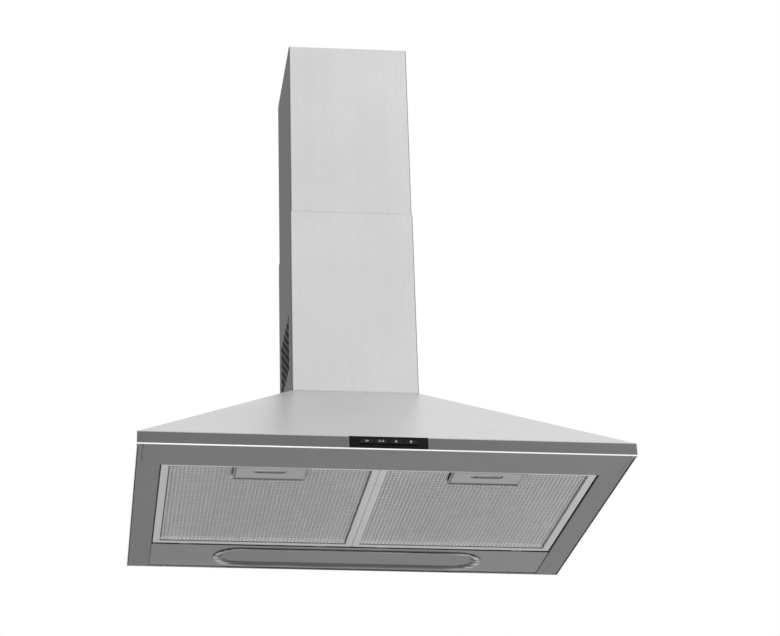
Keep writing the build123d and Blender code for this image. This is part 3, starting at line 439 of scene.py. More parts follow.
def steelFinish(
    name, colour, roughness, grain, foldWidth=0.5 * mm, foldColour=steelLook["foldColour"],
    bend=None, seam=None, underColour=None, hemHighlight=None, vents=False
):
    material, tree, shader, place = newFinish(name)
    brush = placeGroup(tree, brushing, grainPlace(tree, place, grain, steelLook))
    wipe = placeGroup(tree, wiping, place)
    wearAndPaintedLight = placeGroup(tree, edgeWearAndPaintedLight, place, Radius=foldWidth, Breakup=steelLook["foldBreakup"])
    shadeAndGrime = placeGroup(tree, seamShadeAndGrime, place, Reach=steelLook["shadeAndGrimeReach"])
    facing = splitAxes(tree, addNode(tree, "ShaderNodeNewGeometry").outputs["True Normal"])
    base = plainColour(tree, colour)
    if underColour is not None:  # the flange turned under picks up less light from the room
        base = mixColour(tree, rangeNode(tree, facing["Z"], -0.5, -0.95), base, underColour)
    if hemHighlight is not None:  # painted highlight along the upper edge of the band
        height = splitAxes(tree, place)["Z"]
        base = mixColour(tree, rangeNode(tree, height, *steelLook["hem"]), base, hemHighlight)
    if seam is not None:
        base = seamShade(tree, place, base, seam, facing["Z"])
    if bend is not None:  # painted light along a bend: a highlight where its colour is bright, shade where it is dark
        first, second = [facing[axis] for axis in bend["axes"]]
        both = mathNode(tree, "ABSOLUTE", mathNode(tree, "MULTIPLY", first, second))
        base = mixColour(tree, rangeNode(tree, both, *bend["reach"]), base, bend["colour"])
    if vents:
        base = ventShade(tree, place, base, facing["X"])
    streaks = swingNode(tree, brush.outputs["Streak"], 1.0, steelLook["streakSwing"])
    clouds = swingNode(tree, wipe.outputs["Cloud"], 1.0, steelLook["cloudSwing"])
    base = scaled(tree, base, mathNode(tree, "MULTIPLY", streaks, clouds))
    # Painted shade and grime where another piece lies close.
    shadeAndGrimeAmount = mathNode(tree, "MULTIPLY", shadeAndGrime.outputs["Mask"], steelLook["shadeAndGrimeShare"])
    base = mixColour(tree, shadeAndGrimeAmount, base, steelLook["shadeAndGrime"])
    # Painted highlight along the folds; the chimney's dark fold colour paints shade there.
    paintedLight = mathNode(tree, "MULTIPLY", wearAndPaintedLight.outputs["Mask"], steelLook["foldPaintedShare"])
    tree.links.new(mixColour(tree, paintedLight, base, foldColour), shader.inputs["Base Color"])
    shader.inputs["Metallic"].default_value = 1.0
    brushed = swingNode(tree, brush.outputs["Streak"], roughness, steelLook["roughnessSwing"])
    spotted = mathNode(tree, "MULTIPLY", wipe.outputs["Spots"], steelLook["spotRoughness"])
    tree.links.new(mathNode(tree, "ADD", brushed, spotted), shader.inputs["Roughness"])
    addBump(tree, shader, brush.outputs["Height"], steelLook["bump"], steelLook["bumpDistance"])
    return material


# Galvanised or plated sheet and small bright steel parts.
zincLook = {
    "wearRadius": 0.5 * mm,
    "wearShare": 0.5,
    "wearColour": (0.8, 0.8, 0.8),
    "roughnessSwing": (0.08, -0.06),
    "dustRoughness": 0.25,
    "bump": 0.1,
    "bumpDistance": 0.1 * mm,
}


def zincFinish(name, colour, darker, roughness, crystal):
    material, tree, shader, place = newFinish(name)
    crystals = placeGroup(tree, spangle, place, **{"Crystal Scale": crystal})
    wearAndPaintedLight = placeGroup(tree, edgeWearAndPaintedLight, place, Radius=zincLook["wearRadius"])
    settled = placeGroup(tree, dust, place)
    base = mixColour(tree, crystals.outputs["Tone"], darker, colour)
    worn = mathNode(tree, "MULTIPLY", wearAndPaintedLight.outputs["Mask"], zincLook["wearShare"])
    tree.links.new(mixColour(tree, worn, base, zincLook["wearColour"]), shader.inputs["Base Color"])
    shader.inputs["Metallic"].default_value = 1.0
    rough = swingNode(tree, crystals.outputs["Tone"], roughness, zincLook["roughnessSwing"])
    dusty = mathNode(tree, "MULTIPLY", settled.outputs["Mask"], zincLook["dustRoughness"])
    tree.links.new(mathNode(tree, "ADD", rough, dusty), shader.inputs["Roughness"])
    addBump(tree, shader, crystals.outputs["Height"], zincLook["bump"], zincLook["bumpDistance"])
    return material


# Satin aluminium of the filter cassettes.
aluminiumLook = {
    "acrossGrain": 2400.0,
    "alongGrain": 30.0,
    "band": 0.5,
    "streakSwing": (-0.07, 0.05),
    "roughnessSwing": (-0.05, 0.06),
    "wearRadius": 0.4 * mm,
    "wearColour": (0.92, 0.92, 0.92),
    # Painted shade and grime where another piece lies close.
    "shadeAndGrime": (0.04, 0.04, 0.04),
    "shadeAndGrimeReach": 1.5 * mm,
    # Reach and colour of the painted shadow line along the latch's side.
    "gap": (0.8 * mm, 1.4 * mm),
    "gapShadowColour": (0.03, 0.03, 0.03),
    "bump": 0.1,
    "bumpDistance": 0.04 * mm,
}


def aluminiumFinish(
    name, colour, roughness, grain, wearShare=0.6, shadeAndGrimeShare=0.6, recess=None, sideShade=None, seat=None
):
    material, tree, shader, place = newFinish(name)
    squeezed = grainPlace(tree, place, grain, aluminiumLook)
    brush = placeGroup(tree, brushing, squeezed, Band=aluminiumLook["band"])
    wipe = placeGroup(tree, wiping, place)
    wearAndPaintedLight = placeGroup(tree, edgeWearAndPaintedLight, place, Radius=aluminiumLook["wearRadius"])
    shadeAndGrime = placeGroup(tree, seamShadeAndGrime, place, Reach=aluminiumLook["shadeAndGrimeReach"])
    shadeAndGrimeAmount = mathNode(tree, "MULTIPLY", shadeAndGrime.outputs["Mask"], shadeAndGrimeShare)
    axes = splitAxes(tree, place)
    base = plainColour(tree, colour)
    if recess is not None:  # the recess is painted lighter, a painted light that lifts the shade falling in it
        deep = rangeNode(tree, axes["Z"], recess["from"], recess["to"])
        base = mixColour(tree, deep, base, recess["colour"])
    if sideShade is not None:  # painted shadow of a gap on the side that the spring pushes open
        apart = mathNode(tree, "ABSOLUTE", mathNode(tree, "SUBTRACT", axes["X"], sideShade["middle"]))
        near = mathNode(tree, "ABSOLUTE", mathNode(tree, "SUBTRACT", apart, sideShade["apart"]))
        shade = rangeNode(tree, near, *aluminiumLook["gap"], 1.0, 0.0)
        base = mixColour(tree, shade, base, aluminiumLook["gapShadowColour"])
    if seat is not None:  # the frame is darker where a latch lies on it, and gets no seam darkening there
        across = mathNode(tree, "SUBTRACT", mathNode(tree, "ABSOLUTE", axes["X"]), seat["middle"])
        seated = mathNode(tree, "LESS_THAN", mathNode(tree, "ABSOLUTE", across), seat["half"])
        fromFront = mathNode(tree, "GREATER_THAN", axes["Y"], seat["front"])
        toRear = mathNode(tree, "LESS_THAN", axes["Y"], seat["rear"])
        seated = mathNode(tree, "MULTIPLY", seated, mathNode(tree, "MULTIPLY", fromFront, toRear))
        base = mixColour(tree, seated, base, seat["colour"])
        shadeAndGrimeAmount = mathNode(tree, "MULTIPLY", shadeAndGrimeAmount, mathNode(tree, "SUBTRACT", 1.0, seated))
    # Painted shade and grime where another piece lies close.
    base = mixColour(tree, shadeAndGrimeAmount, base, aluminiumLook["shadeAndGrime"])
    base = scaled(tree, base, swingNode(tree, brush.outputs["Streak"], 1.0, aluminiumLook["streakSwing"]))
    worn = mathNode(tree, "MULTIPLY", wearAndPaintedLight.outputs["Mask"], wearShare)
    tree.links.new(mixColour(tree, worn, base, aluminiumLook["wearColour"]), shader.inputs["Base Color"])
    shader.inputs["Metallic"].default_value = 1.0
    rough = swingNode(tree, wipe.outputs["Cloud"], roughness, aluminiumLook["roughnessSwing"])
    tree.links.new(rough, shader.inputs["Roughness"])
    addBump(tree, shader, brush.outputs["Height"], aluminiumLook["bump"], aluminiumLook["bumpDistance"])
    return material


# Moulded plastic, also rubber and paint: gloss and grain differ. A tone is a factor and a lift.
mouldedLook = {
    "lighter": (1.12, 0.004),
    "darker": (0.9, 0),
    "rubbed": (1.5, 0.03),
    "wearRadius": 0.5 * mm,
    "wearShare": 0.5,
    "dustShare": 0.35,
    "dustColour": (0.5, 0.48, 0.45),
    "roughnessSwing": (-0.05, 0.06),
    "coatRoughness": 0.15,
    "bump": 0.35,
}


def toned(colour, tone):
    factor, lift = tone
    return [min(1.0, channel * factor + lift) for channel in colour]


def mouldedFinish(
    name, colour, roughness, grainScale=2200.0, grainDepth=0.03 * mm, coat=0.0, gloss=0.5, dustAmount=0.5
):
    material, tree, shader, place = newFinish(name)
    skin = placeGroup(tree, mouldedSkin, place, **{"Grain Scale": grainScale})
    wearAndPaintedLight = placeGroup(tree, edgeWearAndPaintedLight, place, Radius=mouldedLook["wearRadius"])
    settled = placeGroup(tree, dust, place)
    tones = ("darker", "lighter", "rubbed")
    darker, lighter, rubbed = [toned(colour, mouldedLook[tone]) for tone in tones]
    base = mixColour(tree, skin.outputs["Tone"], darker, lighter)
    worn = mathNode(tree, "MULTIPLY", wearAndPaintedLight.outputs["Mask"], mouldedLook["wearShare"])
    base = mixColour(tree, worn, base, rubbed)
    dusty = mathNode(tree, "MULTIPLY", settled.outputs["Mask"], mouldedLook["dustShare"] * dustAmount)
    tree.links.new(mixColour(tree, dusty, base, mouldedLook["dustColour"]), shader.inputs["Base Color"])
    rough = swingNode(tree, skin.outputs["Tone"], roughness, mouldedLook["roughnessSwing"])
    tree.links.new(rough, shader.inputs["Roughness"])
    shader.inputs["Specular IOR Level"].default_value = gloss
    shader.inputs["Coat Weight"].default_value = coat
    shader.inputs["Coat Roughness"].default_value = mouldedLook["coatRoughness"]
    addBump(tree, shader, skin.outputs["Height"], mouldedLook["bump"], grainDepth)
    return material


# Frosted lamp cover with fine prisms across it, and painted glints along its rim.
lensLook = {
    "prisms": 95.0,
    "frost": 1500.0,
    "frostDepth": 0.3,
    "darker": (0.085, 0.088, 0.088),
    "lighter": (0.12, 0.124, 0.124),
    "rim": (0.6 * mm, 1.6 * mm),
    "ends": (120 * mm, 176 * mm),
    "glintsAmid": 0.25,  # share of the glints that is left along the middle
    "glintStretch": (14, 160, 0),
    "glint": (0.85, 0.86, 0.86),
    "roughness": (0.12, 0.2),
    "transmission": 0.35,
    "refraction": 1.49,
    "bump": 0.25,
    "bumpDistance": 0.3 * mm,
}


def lensFinish(name):
    material, tree, shader, place = newFinish(name)
    prisms = addNode(tree, "ShaderNodeTexWave", wave_type="BANDS", bands_direction="X")
    setInputs(prisms, {"Scale": lensLook["prisms"], "Distortion": 0.0})
    tree.links.new(place, prisms.inputs["Vector"])
    frost = noiseNode(tree, place, lensLook["frost"], 3.0, 0.6)
    frost = mathNode(tree, "MULTIPLY", frost, lensLook["frostDepth"])
    height = mathNode(tree, "ADD", frost, prisms.outputs["Fac"])
    wipe = placeGroup(tree, wiping, place)
    base = mixColour(tree, wipe.outputs["Cloud"], lensLook["darker"], lensLook["lighter"])
    axes = splitAxes(tree, place)
    # Painted glints along the rim, stronger towards the ends.
    rim = rangeNode(tree, axes["Z"], *lensLook["rim"], 1.0, 0.0)
    aside = mathNode(tree, "ABSOLUTE", axes["X"])
    ends = rangeNode(tree, aside, *lensLook["ends"], lensLook["glintsAmid"], 1.0)
    spots = noiseNode(tree, stretch(tree, place, lensLook["glintStretch"]), 1.0, 4.0, 0.6)
    glints = rangeNode(tree, spots, 0.4, 0.6)
    paintedLight = mathNode(tree, "MULTIPLY", mathNode(tree, "MULTIPLY", rim, ends), glints, True)
    tree.links.new(mixColour(tree, paintedLight, base, lensLook["glint"]), shader.inputs["Base Color"])
    rough = rangeNode(tree, wipe.outputs["Spots"], 0.0, 1.0, *lensLook["roughness"])
    tree.links.new(rough, shader.inputs["Roughness"])
    shader.inputs["Transmission Weight"].default_value = lensLook["transmission"]
    shader.inputs["IOR"].default_value = lensLook["refraction"]
    addBump(tree, shader, height, lensLook["bump"], lensLook["bumpDistance"])
    return material


# Powder-coated glass of the lamps.
bulbLook = {
    "powder": 1800.0,
    "patches": 60.0,
    "darker": (0.8, 0.8, 0.77),
    "lighter": (0.9, 0.9, 0.88),
    "roughness": (0.18, 0.3),
    "coat": 0.6,
    "bump": 0.05,
    "bumpDistance": 0.05 * mm,
}


def bulbFinish(name):
    material, tree, shader, place = newFinish(name)
    powder = noiseNode(tree, place, bulbLook["powder"], 3.0, 0.6)
    tone = noiseNode(tree, place, bulbLook["patches"], 2.0)
    base = mixColour(tree, tone, bulbLook["darker"], bulbLook["lighter"])
    tree.links.new(base, shader.inputs["Base Color"])
    tree.links.new(rangeNode(tree, powder, 0.3, 0.7, *bulbLook["roughness"]), shader.inputs["Roughness"])
    shader.inputs["Coat Weight"].default_value = bulbLook["coat"]
    addBump(tree, shader, powder, bulbLook["bump"], bulbLook["bumpDistance"])
    return material


finishes = {
    # The chimney's folds and bends are painted dark: painted shade lines along its edges.
    "chimneySteel": steelFinish(
        "chimneySteel", (0.615, 0.615, 0.615), 0.3, "Z", foldWidth=0.9 * mm, foldColour=(0.2, 0.2, 0.2),
        bend={"axes": "XY", "colour": (0.22, 0.22, 0.22), "reach": (0.1, 0.3)}, vents=True
    ),
    "canopySteel": steelFinish("canopySteel", (0.65, 0.65, 0.65), 0.36, "X"),
    # The fascia, rails and light panel are the same stainless as the canopy; their dark colours are
    # painted shade.
    "fasciaSteel": steelFinish(
        "fasciaSteel", (0.16, 0.16, 0.162), 0.3, "X", seam=flangeSeam,
        # Painted highlight along the fascia's lower bend.
        bend={"axes": "YZ", "colour": (0.9, 0.9, 0.9), "reach": (0.2, 0.42)},
        underColour=(0.152, 0.152, 0.154), hemHighlight=(0.5, 0.5, 0.5)
    ),
    "railSteel": steelFinish("railSteel", (0.155, 0.155, 0.158), 0.32, "Y", seam=railSeam),
    "panelSteel": steelFinish("panelSteel", (0.205, 0.208, 0.208), 0.34, "X"),
    "zincSheet": zincFinish("zincSheet", (0.6, 0.615, 0.63), (0.5, 0.515, 0.53), 0.38, 260.0),
    "platedSteel": zincFinish("platedSteel", (0.72, 0.72, 0.7), (0.62, 0.62, 0.61), 0.24, 700.0),
    "shaftSteel": aluminiumFinish("shaftSteel", (0.66, 0.66, 0.66), 0.2, "X"),
    "frameAluminium": aluminiumFinish(
        "frameAluminium", (0.52, 0.525, 0.525), 0.36, "Y",
        seat={
            "middle": 134 * mm, "half": 49 * mm, "front": -396 * mm, "rear": -350 * mm,
            "colour": (0.32, 0.325, 0.325)
        }
    ),
    # Painted light in the latch's recess, and a painted shadow line along one side.
    "latchAluminium": aluminiumFinish(
        "latchAluminium", (0.33, 0.338, 0.336), 0.36, "X", wearShare=0.0,
        recess={"from": 4.4 * mm, "to": 6 * mm, "colour": (0.75, 0.76, 0.76)},
        sideShade={"middle": -43 * mm, "apart": 134 * mm}
    ),
    "meshAluminium": aluminiumFinish("meshAluminium", (0.7, 0.7, 0.7), 0.3, "Y", shadeAndGrimeShare=0.0),
    "packAluminium": aluminiumFinish("packAluminium", (0.5, 0.505, 0.505), 0.42, "X", shadeAndGrimeShare=0.3),
    "palePlastic": mouldedFinish("palePlastic", (0.72, 0.71, 0.68), 0.45),
    "porcelain": mouldedFinish("porcelain", (0.82, 0.8, 0.75), 0.3, 1400.0, 0.01 * mm, coat=0.3),
    "blackPlastic": mouldedFinish(
        "blackPlastic", (0.005, 0.005, 0.0055), 0.5, 2600.0, 0.01 * mm, gloss=0.1
    ),
    "keyPlastic": mouldedFinish(
        "keyPlastic", (0.01, 0.01, 0.0105), 0.5, 3000.0, 0.01 * mm, gloss=0.16
    ),
    "glandPlastic": mouldedFinish("glandPlastic", (0.03, 0.03, 0.03), 0.5),
    "flapPlastic": mouldedFinish("flapPlastic", (0.05, 0.05, 0.052), 0.5),
    "blowerPlastic": mouldedFinish("blowerPlastic", (0.16, 0.165, 0.17), 0.5),
    "wheelPlastic": mouldedFinish("wheelPlastic", (0.3, 0.31, 0.32), 0.45),
    "motorPaint": mouldedFinish("motorPaint", (0.2, 0.205, 0.21), 0.4, 1500.0, 0.02 * mm, coat=0.2),
    "capacitorCase": mouldedFinish("capacitorCase", (0.7, 0.7, 0.66), 0.4),
    "rubber": mouldedFinish("rubber", (0.03, 0.03, 0.03), 0.7, 1200.0, 0.04 * mm),
    "lampCover": lensFinish("lampCover"),
    "bulbGlass": bulbFinish("bulbGlass"),
    "iconPrint": mouldedFinish(
        "iconPrint", (0.72, 0.73, 0.73), 0.45, 3000.0, 0.005 * mm, dustAmount=0.0
    ),
}
print("finishes made:", len(finishes))

finishOfNode = {
    "chimneySteel": "lower_chimney upper_chimney",
    "canopySteel": "canopy_shell",
    "fasciaSteel": "front_fascia",
    "railSteel": "left_side_rail right_side_rail",
    "panelSteel": "rear_light_panel",
    "zincSheet": "back_panel lamp_housing chimney_clips upper_bracket motor_bracket capacitor_clamp",
    "platedSteel": "blower_screws clip_screws lid_screws",
    "shaftSteel": "motor_shaft",
    "frameAluminium": "left_filter_frame right_filter_frame left_filter_mesh right_filter_mesh",
    "latchAluminium": "left_filter_latch right_filter_latch",
    "palePlastic": "switch_block terminal_box terminal_box_lid",
    "porcelain": "left_lamp_holder right_lamp_holder",
    "blackPlastic": "control_panel",
    "keyPlastic": "lamp_button speed_one_button speed_two_button speed_three_button",
    "glandPlastic": "cable_gland gland_nut",
    "flapPlastic": "front_flap rear_flap",
    "blowerPlastic": "left_blower_housing right_blower_housing outlet_spigot",
    "wheelPlastic": "impeller",
    "motorPaint": "motor_body",
    "capacitorCase": "capacitor",
    "rubber": "motor_grommets",
    "lampCover": "lamp_lens",
    "bulbGlass": "left_bulb right_bulb",
}


def giveFinish(piece, finish):
    piece.data.materials.clear()
    piece.data.materials.append(finishes[finish])


for finish, names in finishOfNode.items():
    for name in names.split():
        giveFinish(nodes[name], finish)
print("finishes given")


def linkPiece(name, bm):
    mesh = bpy.data.meshes.new(name)
    bm.to_mesh(mesh)
    bm.free()
    piece = bpy.data.objects.new(name, mesh)
    bpy.context.scene.collection.objects.link(piece)
    return piece


def pieceFromMesh(name, bm, finish, body):
    piece = linkPiece(name, bm)
    giveFinish(piece, finish)
    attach(piece, body)
    return piece


# The faces or the points among what an operator has made.
def madeOf(result, kind):
    return [item for item in result["geom"] if isinstance(item, kind)]


# Expanded aluminium of a filter: diamonds in ribs that run front to back.
weave = {
    "diamondAcross": 5.0 * mm,
    "diamondAlong": 8.5 * mm,
    "ribPitch": 5.0 * mm,
    "ribDepth": 2.8 * mm,
    "strand": 1.35 * mm,
    "strandHalfThickness": 0.25 * mm,
    "edgeHidden": 1.0 * mm,
    "faceGap": 0.2 * mm,
    "padGap": 0.4 * mm,
    "padThickness": 0.5 * mm,
    "padRows": 40,  # the outer rows of the folded layer are the pressed ends
    "endDrop": 1.2 * mm,
    "wellSide": 1.9 * mm,
    "wellRear": 7.9 * mm,
}


# Box of a filter's mesh, less the edge that its frame hides.
def layerBox(side):
    low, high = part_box(f"{side}_filter_mesh")
    inset = Vector((weave["edgeHidden"], weave["edgeHidden"], 0))
    return low + inset, high - inset


# The ribs are pressed flat where the frame grips them, front and rear.
def ribHeight(spot, low, high, rearSide=False):
    middle = (low + high) / 2
    crest = weave["ribDepth"] / 2
    flat = crest if rearSide else -crest - weave["endDrop"]
    row = (high.y - low.y) / weave["padRows"]
    share = max(0.0, min(1.0, (spot.y - low.y) / row - 1, (high.y - spot.y) / row - 1))
    wave = crest * math.cos(2 * math.pi * (spot.x - middle.x) / weave["ribPitch"])
    return flat + (wave - flat) * share


def trimTo(bm, low, high):
    for axis in range(2):
        for corner, sign in ((low, -1), (high, 1)):
            normal = [0.0, 0.0, 0.0]
            normal[axis] = sign
            geometry = bm.verts[:] + bm.edges[:] + bm.faces[:]
            bmesh.ops.bisect_plane(
                bm, geom=geometry, dist=1e-7, plane_co=corner, plane_no=normal, clear_outer=True
            )


# Opening in the layers of a filter, in which its latch and cradle sit.
def cutWell(bm, side):
    low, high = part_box(f"{side}_filter_latch")
    left, right = low.x - weave["wellSide"], high.x + weave["wellSide"]
    rear = high.y + weave["wellRear"]

    def touchesWell(face):
        across = [vert.co.x for vert in face.verts]
        return max(across) > left and min(across) < right and min(vert.co.y for vert in face.verts) < rear

    cuts = (((left, 0, 0), (1, 0, 0)), ((right, 0, 0), (1, 0, 0)), ((0, rear, 0), (0, 1, 0)))
    for point, normal in cuts:
        near = [face for face in bm.faces if touchesWell(face)]
        edges = {edge for face in near for edge in face.edges}
        verts = {vert for face in near for vert in face.verts}
        geometry = list(verts) + list(edges) + near
        bmesh.ops.bisect_plane(bm, geom=geometry, dist=1e-7, plane_co=point, plane_no=normal)
    middles = {face: face.calc_center_median() for face in bm.faces}
    inside = [face for face, spot in middles.items() if left < spot.x < right and spot.y < rear]
    bmesh.ops.delete(bm, geom=inside, context="FACES")


def makeWeave(side, name, rearSide=False):
    low, high = layerBox(side)
    middle = (low + high) / 2
    across, along = weave["diamondAcross"], weave["diamondAlong"]
    count = int((high.x - low.x) / across + (high.y - low.y) / along) + 4
    bm = bmesh.new()
    bmesh.ops.create_grid(bm, x_segments=count, y_segments=count, size=count / 2)
    bmesh.ops.rotate(bm, verts=bm.verts, matrix=Matrix.Rotation(math.radians(45), 3, "Z"))
    root = math.sqrt(2)
    bmesh.ops.scale(bm, verts=bm.verts, vec=(across / root, along / root, 1))
    bmesh.ops.translate(bm, verts=bm.verts, vec=(middle.x, middle.y, 0))
    trimTo(bm, low, high)
    cutWell(bm, side)
    ridge = set(bm.verts)
    openFaces = bm.faces[:]
    bmesh.ops.inset_individual(bm, faces=openFaces, thickness=weave["strand"] / 2)
    bmesh.ops.delete(bm, geom=openFaces, context="FACES_ONLY")
    half = weave["strandHalfThickness"]
    copied = bmesh.ops.duplicate(bm, geom=bm.verts[:] + bm.edges[:] + bm.faces[:])
    vertMap = copied["vert_map"]
    bmesh.ops.reverse_faces(bm, faces=madeOf(copied, bmesh.types.BMFace))
    for vert in ridge:
        vertMap[vert].co.z = half
        vert.co.z = -half
    bmesh.ops.remove_doubles(bm, verts=bm.verts, dist=1e-7)
    lift = half + weave["ribDepth"] / 2 + weave["faceGap"]
    base = high.z - lift if rearSide else low.z + lift
    for vert in bm.verts:
        vert.co.z += base + ribHeight(vert.co, low, high, rearSide)
    bmesh.ops.recalc_face_normals(bm, faces=bm.faces)
    return pieceFromMesh(name, bm, "meshAluminium", f"{side}_filter")


# The folded layer between the two weaves.
def makePad(side):
    low, high = layerBox(side)
    middle = (low + high) / 2
    columns = int((high.x - low.x) / (weave["ribPitch"] / 4))
    bm = bmesh.new()
    bmesh.ops.create_grid(bm, x_segments=columns, y_segments=weave["padRows"], size=0.5)
    bmesh.ops.scale(bm, verts=bm.verts, vec=(high.x - low.x, high.y - low.y, 1))
    lift = weave["faceGap"] + weave["strandHalfThickness"] + weave["padGap"] + weave["ribDepth"] / 2
    bmesh.ops.translate(bm, verts=bm.verts, vec=(middle.x, middle.y, low.z + lift))
    cutWell(bm, side)
    for vert in bm.verts:
        vert.co.z += ribHeight(vert.co, low, high)
    top = bmesh.ops.extrude_face_region(bm, geom=bm.faces[:])
    for vert in madeOf(top, bmesh.types.BMVert):
        vert.co.z += weave["padThickness"]
    bmesh.ops.recalc_face_normals(bm, faces=bm.faces)
    return pieceFromMesh(f"{side}_filter_pad", bm, "packAluminium", f"{side}_filter")


for side in ("left", "right"):
    woven = makeWeave(side, f"{side}_filter_weave")
    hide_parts(f"{side}_filter_mesh")
    makeWeave(side, f"{side}_filter_rear_weave", rearSide=True)
    makePad(side)
    print(side, "filter weave:", len(woven.data.polygons), "faces")


# Printed signs on the keys: a lamp, then fans with more and more blade.
signs = {
    "high": 3.3 * mm,
    "proud": 0.04 * mm,
    "ringWidth": 0.35 * mm,
    "bladeMiddle": 0.56,  # shares of a fan's radius
    "bladeHalf": 0.44,
    "bladeLean": 18,  # degrees
    "drawings": {  # a shape, its place, its radius as a share of the height, a fan's blades and fullness
        "lamp": [("ring", -0.5 * mm, 0.36), ("disc", 1.5 * mm, 0.2)],
        "speed_one": [("ring", -2.1 * mm, 0.42), ("fan", 2.1 * mm, 0.5, 3, 0.5)],
        "speed_two": [("fan", 0, 0.55, 3, 0.7)],
        "speed_three": [("fan", 0, 0.6, 4, 0.5)],
    },
}


def addRing(bm, centre, radius):
    ring = bmesh.ops.create_circle(bm, cap_ends=True, segments=20, radius=radius)
    bmesh.ops.translate(bm, verts=ring["verts"], vec=centre)
    face = ring["verts"][0].link_faces[0]
    bmesh.ops.inset_individual(bm, faces=[face], thickness=signs["ringWidth"])
    bmesh.ops.delete(bm, geom=[face], context="FACES_ONLY")


def addDisc(bm, centre, radius, segments=14, squash=(1, 1, 1), turn=0.0):
    disc = bmesh.ops.create_circle(bm, cap_ends=True, segments=segments, radius=radius)
    bmesh.ops.scale(bm, verts=disc["verts"], vec=squash)
    bmesh.ops.rotate(bm, verts=disc["verts"], matrix=Matrix.Rotation(turn, 3, "Z"))
    bmesh.ops.translate(bm, verts=disc["verts"], vec=centre)


def addFan(bm, centre, radius, blades, fullness):
    reach = radius * signs["bladeMiddle"]
    for blade in range(blades):
        turn = math.radians(90) + 2 * math.pi * blade / blades
        spot = centre + Vector((math.cos(turn) * reach, math.sin(turn) * reach, 0))
        lean = turn + math.radians(signs["bladeLean"])
        addDisc(bm, spot, radius * signs["bladeHalf"], 10, (1, fullness, 1), lean)


addShape = {"ring": addRing, "disc": addDisc, "fan": addFan}


# Drawn flat in X and Y, then stood up and moved to the face of its key.
def makeSign(key, drawing):
    bm = bmesh.new()
    for shape, across, share, *blades in drawing:
        addShape[shape](bm, Vector((across, 0, 0)), share * signs["high"], *blades)
    swelled = bmesh.ops.extrude_face_region(bm, geom=bm.faces[:])
    moved = madeOf(swelled, bmesh.types.BMVert)
    bmesh.ops.translate(bm, verts=moved, vec=(0, 0, signs["proud"]))
    bmesh.ops.rotate(bm, verts=bm.verts, matrix=Matrix.Rotation(math.radians(90), 3, "X"))
    low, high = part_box(f"{key}_button")
    spot = ((low.x + high.x) / 2, low.y, (low.z + high.z) / 2)
    bmesh.ops.translate(bm, verts=bm.verts, vec=spot)
    bmesh.ops.recalc_face_normals(bm, faces=bm.faces)
    pieceFromMesh(f"{key}_sign", bm, "iconPrint", f"{key}_button")


for key, drawing in signs["drawings"].items():
    makeSign(key, drawing)
print("signs made:", len(signs["drawings"]))

# Wide pale floor that fades out towards its edge, darker to the left and brighter to the right: painted
# shade and light, which the metal's reflections show.
floorLook = {
    "height": -1.6,
    "radius": 9.0,
    "fadeFrom": 4.5,
    "colour": (0.98, 0.98, 0.98),
    "shadedLeftColour": (0.76, 0.76, 0.76),
    "brightening": (-1.5, 2.2),  # from the left to the right, in metres
    "patches": (0.94, 1.0),
    "roughness": 0.8,
    "glow": 0.45,
}


def makeFloor():
    bm = bmesh.new()
    bmesh.ops.create_circle(bm, cap_ends=True, segments=96, radius=floorLook["radius"])
    bmesh.ops.translate(bm, verts=bm.verts, vec=(0, 0, floorLook["height"]))
    floor = linkPiece("studio_floor", bm)
    material, tree, shader, place = newFinish("studioFloor")
    floor.data.materials.append(material)
    patches = rangeNode(tree, noiseNode(tree, place, 2.0), 0.0, 1.0, *floorLook["patches"])
    # Painted shade to the left, painted light to the right.
    right = rangeNode(tree, splitAxes(tree, place)["X"], *floorLook["brightening"], smooth=True)
    spotted = mathNode(tree, "MULTIPLY", right, patches)
    base = mixColour(tree, spotted, floorLook["shadedLeftColour"], floorLook["colour"])
    tree.links.new(base, shader.inputs["Base Color"])
    tree.links.new(base, shader.inputs["Emission Color"])
    path = addNode(tree, "ShaderNodeLightPath")
    seen = mathNode(tree, "ADD", path.outputs["Is Camera Ray"], path.outputs["Is Glossy Ray"])
    seen = mathNode(tree, "ADD", seen, path.outputs["Is Transmission Ray"], True)
    glow = mathNode(tree, "MULTIPLY", seen, floorLook["glow"])
    tree.links.new(glow, shader.inputs["Emission Strength"])
    shader.inputs["Roughness"].default_value = floorLook["roughness"]
    distance = addNode(tree, "ShaderNodeVectorMath", operation="LENGTH")
    tree.links.new(place, distance.inputs[0])
    near, far = floorLook["fadeFrom"], floorLook["radius"]
    solid = rangeNode(tree, distance.outputs["Value"], near, far, 1.0, 0.0, smooth=True)
    tree.links.new(solid, shader.inputs["Alpha"])


makeFloor()

# Dark sheet of painted shade, standing for a shaded wall, that shows through the open back of the
# chimney, seen from the front alone.
shadeSheetLook = {
    "setBack": -1.65 * mm,
    "halfWidth": 84.0 * mm,
    "low": 193.0 * mm,
    "high": 420.0 * mm,
    "darker": (0.05, 0.05, 0.05),
    "lighter": (0.07, 0.07, 0.07),
    "roughness": 0.9,
}


